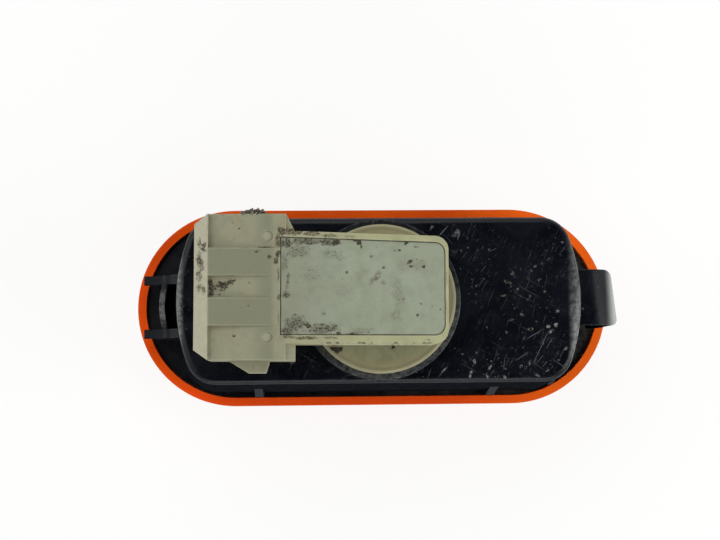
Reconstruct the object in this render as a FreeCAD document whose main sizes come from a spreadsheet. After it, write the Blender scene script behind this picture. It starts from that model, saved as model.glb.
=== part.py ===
# Front side indicator lamp for a car wing, as it comes off the car.
#
# An amber lens with a stadium outline is closed at its back by a black moulded housing. A grey bulb
# holder turns into a bayonet hole in the housing and carries a wedge-base bulb, two sprung contacts,
# a seal and a two-pin plug socket on an arm under a cover plate. The lamp is pushed through a hole
# in the wing: two fixed hooks go behind the panel at one end, and a spring tongue snaps in at the other.
#
# Frame: millimetres. The origin is the middle of the rim's rear face, which seats on the panel.
# +Z points to the back of the lamp, +X towards the spring tongue. The lens faces -Z.
import FreeCAD
import Part
import Sketcher
import math
import os
import re

OUT = "parts"

# Driving dimensions: name, value and what it measures
SIZES = [
    ("lens_length", 85.0, "overall length of the lens rim"),
    ("lens_width", 35.4, "overall width of the lens rim"),
    ("lens_depth", 12.5, "rim's rear face to the front of the lens"),
    ("rim_width", 1.5, "width of the bare rim round the housing flange"),
    ("rim_depth", 2.6, "thickness of the rim at its edge"),
    ("lens_step", 0.7, "how far the dome stands inside the rim's edge"),
    ("lens_draft", 1.6, "how far the dome's side leans in over its height"),
    ("lens_wall", 2.1, "wall of the dome"),
    ("lens_shoulder", 5.0, "radius between the dome's side and its front face"),
    ("ledge_width", 1.5, "ledge in the lens that the housing flange sits on"),
    ("flute_pitch", 3.2, "spacing of the light-spreading flutes inside the lens"),
    ("flute_height", 0.55, "height of a flute"),
    ("flange_thickness", 2.0, "thickness of the housing's base flange"),
    ("flange_recess", 1.0, "depth of the flange below the rim's rear face"),
    ("weld_gap", 0.1, "gap round the flange inside the rim"),
    ("housing_height", 20.0, "rim's rear face to the back of the housing"),
    ("housing_end_inset", 8.4, "distance of the housing's back edge from the rim's end"),
    ("housing_side_inset", 3.8, "distance of the housing's back edge from the rim's side"),
    ("housing_draft", 1.3, "how far each wall leans in from flange to back"),
    ("housing_corner", 5.2, "corner radius of the housing in plan"),
    ("housing_bow", 31.0, "radius of the bowed end walls"),
    ("housing_wall", 2.0, "wall of the housing"),
    ("housing_edge", 1.1, "rounding of the housing's back edge"),
    ("collar_margin", 1.05, "how far the raised collar stands out round the holder's flange"),
    ("collar_height", 1.5, "height of the collar above the housing's back"),
    ("gusset_inset", 4.1, "distance of the side gussets from the start of the end arcs"),
    ("gusset_thickness", 1.5, "thickness of a gusset"),
    ("gusset_height", 14.5, "height of a side gusset on the wall"),
    ("gusset_foot", 1.6, "height of a gusset's outer edge"),
    ("corner_gusset_inset", 10.9, "distance of the corner gusset from the rim's end"),
    ("corner_gusset_thickness", 0.9, "thickness of the corner gusset"),
    ("corner_gusset_depth", 3.0, "length of the corner gusset at its foot, into the wall"),
    ("hook_spacing", 9.5, "distance between the two panel hooks"),
    ("hook_width", 1.6, "width of a panel hook"),
    ("hook_inset", 1.45, "distance of the hook tips from the rim's end"),
    ("hook_throat", 2.2, "clear height under a hook for the panel and its gasket"),
    ("hook_thickness", 1.9, "thickness of a hook's nose"),
    ("hook_nose", 2.1, "length of a hook's nose"),
    ("hook_shoulder", 8.0, "height of the hook where it joins the end wall"),
    ("guard_inset", 4.25, "distance of the curved wall between the hooks from the rim's end"),
    ("guard_thickness", 1.0, "thickness of that curved wall"),
    ("guard_height", 5.4, "height of that curved wall"),
    ("clip_width", 9.6, "width of the spring tongue"),
    ("clip_offset", 0.4, "sideways offset of the spring tongue"),
    ("clip_thickness", 1.3, "thickness of the spring tongue"),
    ("clip_drop", 2.8, "drop of the tongue's top face below the housing's back"),
    ("clip_inset", 0.75, "distance of the tongue's bulge from the rim's end, at its longer side"),
    ("clip_skew", 1.05, "how much shorter the bulge stands at its other side"),
    ("clip_corner", 1.9, "rounding of the tongue's two outer corners"),
    ("clip_bend", 5.0, "outer radius of the tongue's bend"),
    ("clip_tip_return", 2.4, "how far the tip comes back in from the bulge"),
    ("clip_tip_height", 2.6, "clear height under the tongue's tip"),
    ("hole_diameter", 17.0, "bayonet hole in the housing"),
    ("bayonet_clearance", 0.3, "play between the holder and the bayonet hole"),
    ("lug_count", 3, "bayonet lugs on the holder"),
    ("lug_length", 1.7, "how far a lug stands out past the hole's edge"),
    ("lug_width", 4.2, "width of a bayonet lug"),
    ("lug_thickness", 2.0, "thickness of a bayonet lug"),
    ("twist", 45.0, "turn from locked to free, in degrees"),
    ("stop_width", 1.4, "width of a stop beside a lug"),
    ("seat_angle", -0.6, "turn of the seated holder from the lamp's length, in degrees"),
    ("barrel_length", 10.4, "length of the holder's barrel below its flange"),
    ("holder_flange_diameter", 24.7, "flange of the bulb holder"),
    ("holder_flange_thickness", 2.3, "thickness of that flange"),
    ("holder_flange_bevel", 0.45, "bevel on that flange's edge"),
    ("flange_gap", 0.4, "gap between collar and holder flange"),
    ("seal_edge", 1.0, "edge of the holder's flange outside the seal's groove"),
    ("seal_width", 2.0, "width of the seal's groove"),
    ("seal_depth", 1.2, "depth of the seal's groove"),
    ("seal_clearance", 0.05, "play of the seal in its groove"),
    ("arm_height", 9.4, "height of the arm above the holder's flange"),
    ("arm_offset", 1.2, "sideways offset of the arm and plug socket from the axis"),
    ("trough_gap", 0.1, "gap between a contact and the side of its trough"),
    ("arm_end", 10.05, "end of the arm beyond the axis"),
    ("arm_taper", 0.75, "how much the arm narrows towards its end, all on one side"),
    ("arm_corner", 2.2, "corner radius of the arm's end"),
    ("cover_border", 1.3, "edge of the arm beside the cover plate"),
    ("cover_lap", 0.9, "how far the cover plate runs into the plug socket's rear end"),
    ("cover_end_border", 0.5, "edge of the arm beyond the cover plate's end"),
    ("cover_shift", 0.3, "how much narrower that edge is at the plate's tapered side"),
    ("cover_thickness", 1.4, "thickness of the cover plate"),
    ("cover_gap", 0.12, "gap round the cover plate"),
    ("cover_ledge", 1.15, "ledge that the cover plate sits on"),
    ("socket_clear", 0.8, "room between the collar and the plug socket's step, for turning"),
    ("socket_length", 14.6, "length of the plug socket"),
    ("socket_width", 23.2, "width of the plug socket"),
    ("socket_gap", 0.6, "gap between the housing's back and the plug socket"),
    ("socket_wall", 1.8, "wall of the plug socket"),
    ("socket_depth", 11.4, "depth of the plug socket"),
    ("socket_bevel", 1.6, "bevel round the mouth's outer edge"),
    ("socket_bevel_length", 2.3, "length of that bevel"),
    ("rail_inner", 1.75, "inner edge of a rail from the socket's middle"),
    ("rail_outer", 6.15, "outer edge of a rail from the socket's middle"),
    ("channel_depth", 1.0, "depth of the channels beside the rails at the mouth"),
    ("shoulder_width", 1.55, "width of the step behind the plug socket"),
    ("shoulder_drop", 0.35, "drop of that step below the socket's back"),
    ("nose_reach", 2.0, "height of the latch nose on the socket's side"),
    ("nose_tip", 2.8, "length of the nose's flat tip"),
    ("nose_ramp", 3.3, "length of the nose's lead-in"),
    ("nose_heel", 0.6, "length of the nose's locking side"),
    ("nose_inset", 2.5, "distance of the nose from the socket's rear end"),
    ("nose_height", 5.0, "width of the nose, along the lamp's depth"),
    ("nose_drop", 2.6, "drop of the nose below the socket's back"),
    ("mark_diameter", 1.8, "ejector marks on the plug socket"),
    ("mark_inset", 2.95, "distance of the ejector marks from the socket's rear end"),
    ("mark_spread", 8.0, "distance of an ejector mark from the socket's middle"),
    ("mark_depth", 0.3, "depth of an ejector mark"),
    ("pin_spacing", 10.0, "distance between the two contact blades"),
    ("blade_width", 2.8, "width of a contact blade"),
    ("blade_thickness", 0.8, "thickness of a contact blade"),
    ("blade_length", 8.85, "length of a blade inside the plug socket"),
    ("blade_taper", 0.7, "lead-in at a blade's tip"),
    ("blade_clearance", 0.05, "play of a blade in the socket's end wall"),
    ("spring_width", 5.6, "width of a contact spring"),
    ("spring_thickness", 0.5, "thickness of a contact spring"),
    ("spring_flare", 1.0, "how far the spring's foot opens outwards"),
    ("spring_clearance", 0.04, "play between spring and bulb lead"),
    ("wedge_clearance", 0.3, "play of the bulb's wedge in its well"),
    ("spring_room", 0.22, "room behind a contact spring in the bulb's well"),
    ("bulb_diameter", 10.0, "glass of the wedge-base bulb"),
    ("bulb_length", 26.8, "overall length of the bulb"),
    ("bulb_wall", 0.6, "wall of the bulb's glass"),
    ("bulb_drop", 1.3, "depth of the wedge's end below the holder's flange"),
    ("wedge_width", 9.4, "width of the glass wedge"),
    ("wedge_thickness", 2.5, "thickness of the glass wedge"),
    ("wedge_length", 9.6, "length of the glass wedge"),
    ("lead_diameter", 0.45, "wire of the bulb's leads"),
    ("lead_spacing", 4.4, "distance between the leads"),
    ("lead_tail", 5.6, "length of a lead folded back on the wedge"),
    ("filament_drop", 18.0, "distance of the filament from the wedge's end"),
    ("filament_diameter", 0.4, "outer diameter of the filament's coil"),
]
NAMES = {name for name, _value, _note in SIZES}

doc = FreeCAD.newDocument("indicator_lamp")
sheet = doc.addObject("Spreadsheet::Sheet", "dims")
for row, (name, value, note) in enumerate(SIZES, start=1):
    sheet.set(f"A{row}", name)
    sheet.set(f"B{row}", str(value))
    sheet.setAlias(f"B{row}", name)
    sheet.set(f"C{row}", note)
doc.recompute()

# Places worked out from the driving dimensions, as expressions
RIM_STRAIGHT = "((lens_length - lens_width) / 2)"
RIM_RADIUS = "(lens_width / 2)"
POCKET_RADIUS = f"({RIM_RADIUS} - rim_width)"
POCKET_FLOOR = "(-flange_recess - flange_thickness)"
DOME_RADIUS = f"({RIM_RADIUS} - lens_step)"
CAVITY_RADIUS = f"({POCKET_RADIUS} - ledge_width)"
CAVITY_FLOOR = "(lens_wall - lens_depth)"
FLANGE_TOP = "(-flange_recess)"
CEILING = "(housing_height - housing_wall)"
COLLAR_TOP = "(housing_height + collar_height)"
COLLAR_RADIUS = "(holder_flange_diameter / 2 + collar_margin)"
END_BACK = "(lens_length / 2 - housing_end_inset)"
SIDE_BACK = "(lens_width / 2 - housing_side_inset)"
END_BASE = f"({END_BACK} + housing_draft)"
SIDE_BASE = f"({SIDE_BACK} + housing_draft)"
GUSSET_PLACE = f"({RIM_STRAIGHT} - gusset_inset)"
CORNER_GUSSET = "(lens_length / 2 - corner_gusset_inset)"
HOOK_TIP = "(lens_length / 2 - hook_inset)"
HOOK_ROOT = f"({HOOK_TIP} - hook_nose)"
GUARD_RADIUS = f"({RIM_RADIUS} - guard_inset)"
CLIP_TOP = "(housing_height - clip_drop)"
CLIP_REACH = "(lens_length / 2 - clip_inset)"
HOLDER_UNDER = f"({COLLAR_TOP} + flange_gap)"
HOLDER_TOP = f"({HOLDER_UNDER} + holder_flange_thickness)"
BARREL_RADIUS = "(hole_diameter / 2 - bayonet_clearance)"
BARREL_END = f"({HOLDER_UNDER} - barrel_length)"
LUG_TOP = f"({CEILING} - bayonet_clearance)"
LUG_REACH = "(hole_diameter / 2 + lug_length)"
SEAL_INNER = "(holder_flange_diameter / 2 - seal_edge - seal_width)"
BACK = f"({HOLDER_TOP} + arm_height)"
ARM_WIDTH = "(pin_spacing + blade_width + 2 * (cover_border + cover_ledge + trough_gap))"
SOCKET_BOTTOM = "(housing_height + socket_gap)"
SOCKET_BACK = f"({COLLAR_RADIUS} + socket_clear + shoulder_width)"
SOCKET_MOUTH = f"({SOCKET_BACK} + socket_length)"
SOCKET_FLOOR = f"({SOCKET_MOUTH} - socket_depth)"
NOSE_END = f"({SOCKET_BACK} + nose_inset)"
MARK_PLACE = f"({SOCKET_BACK} + mark_inset)"
BLADE_UNDER = f"(({SOCKET_BOTTOM} + {BACK} - blade_thickness) / 2)"
BLADE_TIP = f"({SOCKET_FLOOR} + blade_length)"
COVER_LEFT = f"(-{SOCKET_BACK} - cover_lap + cover_gap)"
LEAD_OFFSET = "(wedge_thickness / 2 + lead_diameter / 2 + spring_clearance)"
CONTACT_FACE = f"({LEAD_OFFSET} + lead_diameter / 2 + spring_clearance)"
SPRING_NECK = f"({CONTACT_FACE} + spring_flare)"
WELL_WIDTH = "(wedge_width + 2 * wedge_clearance)"
WELL_DEPTH = f"(2 * ({SPRING_NECK} + spring_thickness + spring_room))"
BULB_SEAT = f"({HOLDER_UNDER} - bulb_drop)"
FILAMENT = f"({BULB_SEAT} - filament_drop)"


def bound(text):
    """The expression with every size's name pointed at the sheet."""
    return re.sub(r"[a-z_]+", lambda m: "dims." + m.group() if m.group() in NAMES else m.group(), text)


def size(text):
    """The value of an expression, in millimetres or degrees."""
    return float(sheet.evalExpression(bound(text)))


def tie(thing, prop, text):
    """Binds a property to an expression in the sheet's sizes."""
    thing.setExpression(prop, bound(text))


def new_body(label):
    body = doc.addObject("PartDesign::Body", label)
    body.Label = label
    return body


def origin_of(body, role):
    return next(f for f in body.Origin.OriginFeatures if f.Role == role)


def new_sketch(body, role, name, offset="0"):
    """A sketch on one of the body's origin planes, moved along that plane's normal."""
    sketch = body.newObject("Sketcher::SketchObject", name)
    sketch.AttachmentSupport = [(origin_of(body, role), "")]
    sketch.MapMode = "FlatFace"
    tie(sketch, "AttachmentOffset.Base.z", offset)
    return sketch


def drive(sketch, constraint, text):
    """Adds a dimension whose value follows an expression."""
    index = sketch.addConstraint(constraint)
    tie(sketch, f"Constraints[{index}]", text)


def pin(sketch, geometry, vertex, x, y):
    """Drives a vertex's place from the sketch's origin."""
    drive(sketch, Sketcher.Constraint("DistanceX", -1, 1, geometry, vertex, size(x)), x)
    drive(sketch, Sketcher.Constraint("DistanceY", -1, 1, geometry, vertex, size(y)), y)


def polygon(sketch, corners):
    """A closed outline of straight edges, each corner a pair of expressions."""
    points = [FreeCAD.Vector(size(x), size(y), 0) for x, y in corners]
    first = sketch.GeometryCount
    for start, end in zip(points, points[1:] + points[:1]):
        sketch.addGeometry(Part.LineSegment(start, end))
    for i, (x, y) in enumerate(corners):
        following = first + (i + 1) % len(corners)
        sketch.addConstraint(Sketcher.Constraint("Coincident", first + i, 2, following, 1))
        pin(sketch, first + i, 1, x, y)


def rectangle(sketch, left, right, low, high):
    polygon(sketch, [(left, low), (right, low), (right, high), (left, high)])


def tongue_plan(sketch, left, right, low, high, corner, taper):
    """A plan with two round right-hand corners, whose upper side comes down towards them."""
    x0, x1, y0, y1, r, drop = (size(t) for t in (left, right, low, high, corner, taper))
    lean = math.atan2(drop, x1 - r - x0)
    tx, ty = x1 - r + r * math.sin(lean), y1 - drop
    cy = ty - r * math.cos(lean)
    pieces = [
        line(x0, y0, x1 - r, y0), arc(x1 - r, y0 + r, r, 270, 360), line(x1, y0 + r, x1, cy),
        arc(x1 - r, cy, r, 0, 90 - math.degrees(lean)), line(tx, ty, x0, y1), line(x0, y1, x0, y0)]
    for piece in pieces:
        sketch.addGeometry(piece)
    joins = [("Tangent", 0, 2, 1, 1), ("Tangent", 1, 2, 2, 1), ("Tangent", 2, 2, 3, 1),
             ("Tangent", 3, 2, 4, 1), ("Coincident", 4, 2, 5, 1), ("Coincident", 5, 2, 0, 1),
             ("Horizontal", 0), ("Vertical", 2)]
    for join in joins:
        sketch.addConstraint(Sketcher.Constraint(*join))
    pin(sketch, 0, 1, left, low)
    pin(sketch, 4, 2, left, high)
    drive(sketch, Sketcher.Constraint("DistanceX", -1, 1, 2, 1, x1), right)
    drive(sketch, Sketcher.Constraint("DistanceY", 4, 1, 4, 2, drop), taper)
    drive(sketch, Sketcher.Constraint("Radius", 1, r), corner)
    drive(sketch, Sketcher.Constraint("Radius", 3, r), corner)


def corner_waste(sketch, x, y, sign, radius, lean):
    """What lies outside a round corner between a side along X and a leaning end that faces +X."""
    inward = "+" if sign == "-" else "-"
    slant = f"sqrt(1 + ({lean}) ^ 2)"
    curve = f"{radius} * ({slant} {sign} {lean})"
    touch = (f"{x} {sign} {radius} * {lean} / {slant}", f"{y} {inward} {radius} / {slant}")
    corners = [
        (f"{x} - {radius}", y), (f"{x} - {radius}", f"{y} {sign} {radius}"),
        (f"{x} + {radius}", f"{y} {sign} {radius}"), (f"{x} + {radius}", touch[1]), touch]
    first = sketch.GeometryCount
    places = [(size(a), size(b)) for a, b in corners]
    for (ax, ay), (bx, by) in zip(places, places[1:]):
        sketch.addGeometry(line(ax, ay, bx, by))
    turn = math.degrees(math.atan(size(lean)))
    low_side = sign == "-"
    middle = (places[0][0], size(f"{y} {inward} {curve}"), size(curve))
    bend = sketch.addGeometry(arc(*middle, 270, 360 + turn) if low_side else arc(*middle, turn, 90))
    side_end, face_end = (1, 2) if low_side else (2, 1)
    for i in range(3):
        sketch.addConstraint(Sketcher.Constraint("Coincident", first + i, 2, first + i + 1, 1))
    sketch.addConstraint(Sketcher.Constraint("Coincident", first, 1, bend, side_end))
    sketch.addConstraint(Sketcher.Constraint("Coincident", first + 3, 2, bend, face_end))
    for i, (a, b) in enumerate(corners[:4]):
        pin(sketch, first + i, 1, a, b)
    pin(sketch, first + 3, 2, *touch)
    drive(sketch, Sketcher.Constraint("Radius", bend, size(curve)), curve)


def circle(sketch, radius, x="0", y="0"):
    place = FreeCAD.Vector(size(x), size(y), 0)
    index = sketch.addGeometry(Part.Circle(place, FreeCAD.Vector(0, 0, 1), size(radius)))
    pin(sketch, index, 3, x, y)
    drive(sketch, Sketcher.Constraint("Radius", index, size(radius)), radius)


def arc(x, y, radius, start, end):
    """An arc of a circle between two angles in degrees, anticlockwise."""
    whole = Part.Circle(FreeCAD.Vector(x, y, 0), FreeCAD.Vector(0, 0, 1), radius)
    return Part.ArcOfCircle(whole, math.radians(start), math.radians(end))


def line(x0, y0, x1, y1):
    return Part.LineSegment(FreeCAD.Vector(x0, y0, 0), FreeCAD.Vector(x1, y1, 0))


def smooth_loop(sketch, pieces):
    """Adds lines and arcs that run into each other with no corner, and returns their first index."""
    first = sketch.GeometryCount
    for piece in pieces:
        sketch.addGeometry(piece)
    for i in range(len(pieces)):
        following = first + (i + 1) % len(pieces)
        sketch.addConstraint(Sketcher.Constraint("Tangent", first + i, 2, following, 1))
    return first


def stadium(sketch, radius):
    """The lamp's outline at a given end radius: two half circles joined by straight runs."""
    c, r = size(RIM_STRAIGHT), size(radius)
    right = smooth_loop(sketch, [
        arc(c, 0, r, -90, 90), line(c, r, -c, r), arc(-c, 0, r, 90, 270), line(-c, -r, c, -r)])
    pin(sketch, right, 3, RIM_STRAIGHT, "0")
    pin(sketch, right + 2, 3, f"-{RIM_STRAIGHT}", "0")
    sketch.addConstraint(Sketcher.Constraint("Horizontal", right + 1))
    drive(sketch, Sketcher.Constraint("Radius", right, r), radius)


def bowed_box(sketch, half_length, half_width, corner, bow):
    """The housing's outline: straight sides, bowed ends and round corners."""
    a, b, rc, rb = (size(t) for t in (half_length, half_width, corner, bow))
    middle = a - rb
    reach = math.sqrt((rb - rc) ** 2 - (b - rc) ** 2)
    cx, cy = middle + reach, b - rc
    turn = math.degrees(math.atan2(cy, reach))
    first = smooth_loop(sketch, [
        arc(middle, 0, rb, -turn, turn), arc(cx, cy, rc, turn, 90), line(cx, b, -cx, b),
        arc(-cx, cy, rc, 90, 180 - turn), arc(-middle, 0, rb, 180 - turn, 180 + turn),
        arc(-cx, -cy, rc, 180 + turn, 270), line(-cx, -b, cx, -b), arc(cx, -cy, rc, 270, 360 - turn)])
    pin(sketch, first, 3, f"{half_length} - {bow}", "0")
    pin(sketch, first + 4, 3, f"{bow} - {half_length}", "0")
    for index in (first, first + 4):
        drive(sketch, Sketcher.Constraint("Radius", index, rb), bow)
    for index in (first + 1, first + 3, first + 5, first + 7):
        drive(sketch, Sketcher.Constraint("Radius", index, rc), corner)
    for index, side in ((first + 2, half_width), (first + 6, f"-{half_width}")):
        sketch.addConstraint(Sketcher.Constraint("Horizontal", index))
        drive(sketch, Sketcher.Constraint("DistanceY", -1, 1, index, 1, size(side)), side)


def extrude(kind, body, sketch, length, symmetric, backwards):
    feature = body.newObject(f"PartDesign::{kind}", sketch.Name + "_" + kind.lower())
    feature.Profile = sketch
    feature.Reversed = backwards
    feature.SideType = "Symmetric" if symmetric else "One side"
    tie(feature, "Length", length)
    doc.recompute()
    return feature


def pad(body, sketch, length, symmetric=False, backwards=False):
    return extrude("Pad", body, sketch, length, symmetric, backwards)


def pocket(body, sketch, length, symmetric=False, backwards=False):
    """Cuts a sketch into the body, and makes sure that something was cut."""
    before = body.Shape.Volume
    feature = extrude("Pocket", body, sketch, length, symmetric, backwards)
    if body.Shape.Volume >= before:
        raise RuntimeError(f"{feature.Name} cut nothing")
    return feature


def revolve(kind, body, sketch):
    feature = body.newObject(f"PartDesign::{kind}", sketch.Name + "_" + kind.lower())
    feature.Profile = sketch
    feature.ReferenceAxis = (sketch, ["V_Axis"])
    feature.Angle = 360
    doc.recompute()
    return feature


def loft(kind, body, start, end):
    feature = body.newObject(f"PartDesign::{kind}", start.Name + "_loft")
    feature.Profile = start
    feature.Sections = [end]
    doc.recompute()
    return feature


def around(body, feature, count):
    """Repeats a feature evenly round the bayonet's axis."""
    pattern = body.newObject("PartDesign::PolarPattern", feature.Name + "_ring")
    pattern.Originals = [feature]
    pattern.Axis = (origin_of(body, "Z_Axis"), [""])
    pattern.Angle = 360
    tie(pattern, "Occurrences", count)
    body.Tip = pattern
    doc.recompute()
    return pattern


def mirror(body, features, role):
    copy = body.newObject("PartDesign::Mirrored", features[0].Name + "_mirrored")
    copy.Originals = features
    copy.MirrorPlane = (origin_of(body, role), [""])
    body.Tip = copy
    doc.recompute()
    return copy


def edges_where(shape, test):
    """Names of the edges whose ends and middle all pass a test."""
    names = []
    for number, edge in enumerate(shape.Edges, start=1):
        middle = edge.valueAt((edge.FirstParameter + edge.LastParameter) / 2)
        if all(test(p) for p in [middle] + [v.Point for v in edge.Vertexes]):
            names.append(f"Edge{number}")
    return names


def dress(kind, body, test, text):
    """Rounds or bevels the edges of the body that pass a test."""
    base = body.Tip
    feature = body.newObject(f"PartDesign::{kind}", f"{body.Name}_{kind.lower()}")
    feature.Base = (base, edges_where(base.Shape, test))
    tie(feature, "Radius" if kind == "Fillet" else "Size", text)
    doc.recompute()
    return feature


def near(value, text, slack=0.001):
    return abs(value - size(text)) < slack


def seat_holder_piece(piece):
    """Turns a piece of the bulb holder to the angle that it was left at."""
    tie(piece, "Placement.Rotation.Angle", "seat_angle")


# Lens: a fluted amber dish with a flat rim


def make_lens():
    shell = new_body("lens_shell")
    rim = new_sketch(shell, "XY_Plane", "rim_outline")
    stadium(rim, RIM_RADIUS)
    pad(shell, rim, "rim_depth", backwards=True)
    dome = new_sketch(shell, "XY_Plane", "dome_root", "-rim_depth / 2")
    stadium(dome, DOME_RADIUS)
    face = new_sketch(shell, "XY_Plane", "dome_face", "-lens_depth")
    stadium(face, f"{DOME_RADIUS} - lens_draft")
    loft("AdditiveLoft", shell, dome, face)
    dress("Fillet", shell, lambda p: near(p.z, "-lens_depth"), "lens_shoulder")
    seat = new_sketch(shell, "XY_Plane", "flange_pocket")
    stadium(seat, POCKET_RADIUS)
    pocket(shell, seat, f"-{POCKET_FLOOR}")
    mouth = new_sketch(shell, "XY_Plane", "cavity_mouth", POCKET_FLOOR)
    stadium(mouth, CAVITY_RADIUS)
    floor = new_sketch(shell, "XY_Plane", "cavity_floor", CAVITY_FLOOR)
    stadium(floor, f"{CAVITY_RADIUS} - lens_draft")
    loft("SubtractiveLoft", shell, mouth, floor)
    dress("Fillet", shell, lambda p: near(p.z, CAVITY_FLOOR), "lens_shoulder - lens_wall")
    flutes = make_flutes()
    lens = doc.addObject("Part::Fuse", "lens")
    lens.Label = "lens"
    lens.Base = shell
    lens.Tool = flutes
    lens.Refine = True
    return lens


def make_flutes():
    """Round-topped ridges across the lens's inner face, trimmed to its flat floor."""
    field = new_body("flute_field")
    area = new_sketch(field, "XY_Plane", "flute_area", CAVITY_FLOOR)
    stadium(area, f"{CAVITY_RADIUS} - lens_draft - lens_shoulder + lens_wall")
    pad(field, area, "flute_height")
    row = new_body("flute_row")
    profile = new_sketch(row, "XZ_Plane", "flute_profile")
    chord, rise = size("flute_pitch"), size("flute_height")
    bulge = (chord ** 2 / 4 + rise ** 2) / (2 * rise)
    half = math.degrees(math.asin(chord / 2 / bulge))
    floor = size(CAVITY_FLOOR)
    count = 2 * int(size(f"({RIM_STRAIGHT} + {CAVITY_RADIUS}) / flute_pitch")) + 1
    profile.addGeometry(line(chord / 2, floor, -chord / 2, floor))
    profile.addGeometry(arc(0, floor + rise - bulge, bulge, 90 - half, 90 + half))
    profile.addConstraint(Sketcher.Constraint("Coincident", 0, 1, 1, 1))
    profile.addConstraint(Sketcher.Constraint("Coincident", 0, 2, 1, 2))
    pin(profile, 0, 1, "flute_pitch / 2", CAVITY_FLOOR)
    pin(profile, 0, 2, "-flute_pitch / 2", CAVITY_FLOOR)
    curve = "(flute_pitch ^ 2 / 4 + flute_height ^ 2) / (2 * flute_height)"
    drive(profile, Sketcher.Constraint("Radius", 1, bulge), curve)
    ridge = pad(row, profile, "lens_width", symmetric=True)
    for backwards in (False, True):
        copies = row.newObject("PartDesign::LinearPattern", f"flutes_{'left' if backwards else 'right'}")
        copies.Originals = [ridge]
        copies.Direction = (origin_of(row, "X_Axis"), [""])
        copies.Reversed = backwards
        copies.Occurrences = (count + 1) // 2
        tie(copies, "Length", f"flute_pitch * {(count - 1) // 2}")
        row.Tip = copies
        doc.recompute()
    common = doc.addObject("Part::Common", "flutes")
    common.Base = field
    common.Tool = row
    return common


# Housing: the black moulding with its hooks, gussets, collar and spring tongue


def make_housing():
    body = new_body("housing")
    flange = new_sketch(body, "XY_Plane", "flange_outline", FLANGE_TOP)
    stadium(flange, f"{POCKET_RADIUS} - weld_gap")
    pad(body, flange, "flange_thickness", backwards=True)
    base = new_sketch(body, "XY_Plane", "box_base", POCKET_FLOOR)
    lean = f"housing_draft * (1 - {POCKET_FLOOR} / housing_height)"
    bowed_box(base, f"({END_BACK} + {lean})", f"({SIDE_BACK} + {lean})",
              "housing_corner", "housing_bow")
    back = new_sketch(body, "XY_Plane", "box_back", "housing_height")
    bowed_box(back, f"({END_BACK})", f"({SIDE_BACK})", "housing_corner", "housing_bow")
    loft("AdditiveLoft", body, base, back)
    dress("Fillet", body, lambda p: near(p.z, "housing_height"), "housing_edge")
    add_gussets(body)
    add_hooks(body)
    add_clip(body)
    add_collar(body)
    hollow_housing(body, lean)
    cut_bayonet(body)
    return body


def wall_line(half_base, height):
    """Where the leaning outer wall stands at a height, a little inside its face."""
    return f"({half_base} - housing_draft * ({height}) / housing_height - housing_wall / 2)"


def add_gussets(body):
    """Buttresses down the long sides that centre the lamp in the panel's hole."""
    reach = f"({POCKET_RADIUS} - weld_gap)"
    sketch = new_sketch(body, "YZ_Plane", "gussets", GUSSET_PLACE)
    for sign in ("", "-"):
        polygon(sketch, [
            (f"{sign}{wall_line(SIDE_BASE, '0')}", FLANGE_TOP), (f"{sign}{reach}", FLANGE_TOP),
            (f"{sign}{reach}", "gusset_foot"),
            (f"{sign}{wall_line(SIDE_BASE, 'gusset_height')}", "gusset_height")])
    mirror(body, [pad(body, sketch, "gusset_thickness", symmetric=True)], "YZ_Plane")
    along = f"({CORNER_GUSSET} + corner_gusset_thickness / 2 - {RIM_STRAIGHT})"
    edge = f"sqrt({reach} ^ 2 - {along} ^ 2)"
    corner = new_sketch(body, "YZ_Plane", "corner_gusset", CORNER_GUSSET)
    polygon(corner, [
        (f"corner_gusset_depth - {edge}", FLANGE_TOP), (f"-{edge}", FLANGE_TOP),
        (f"-{edge}", "gusset_foot"), (f"corner_gusset_depth - {edge}", "gusset_height")])
    pad(body, corner, "corner_gusset_thickness", symmetric=True)


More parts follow.
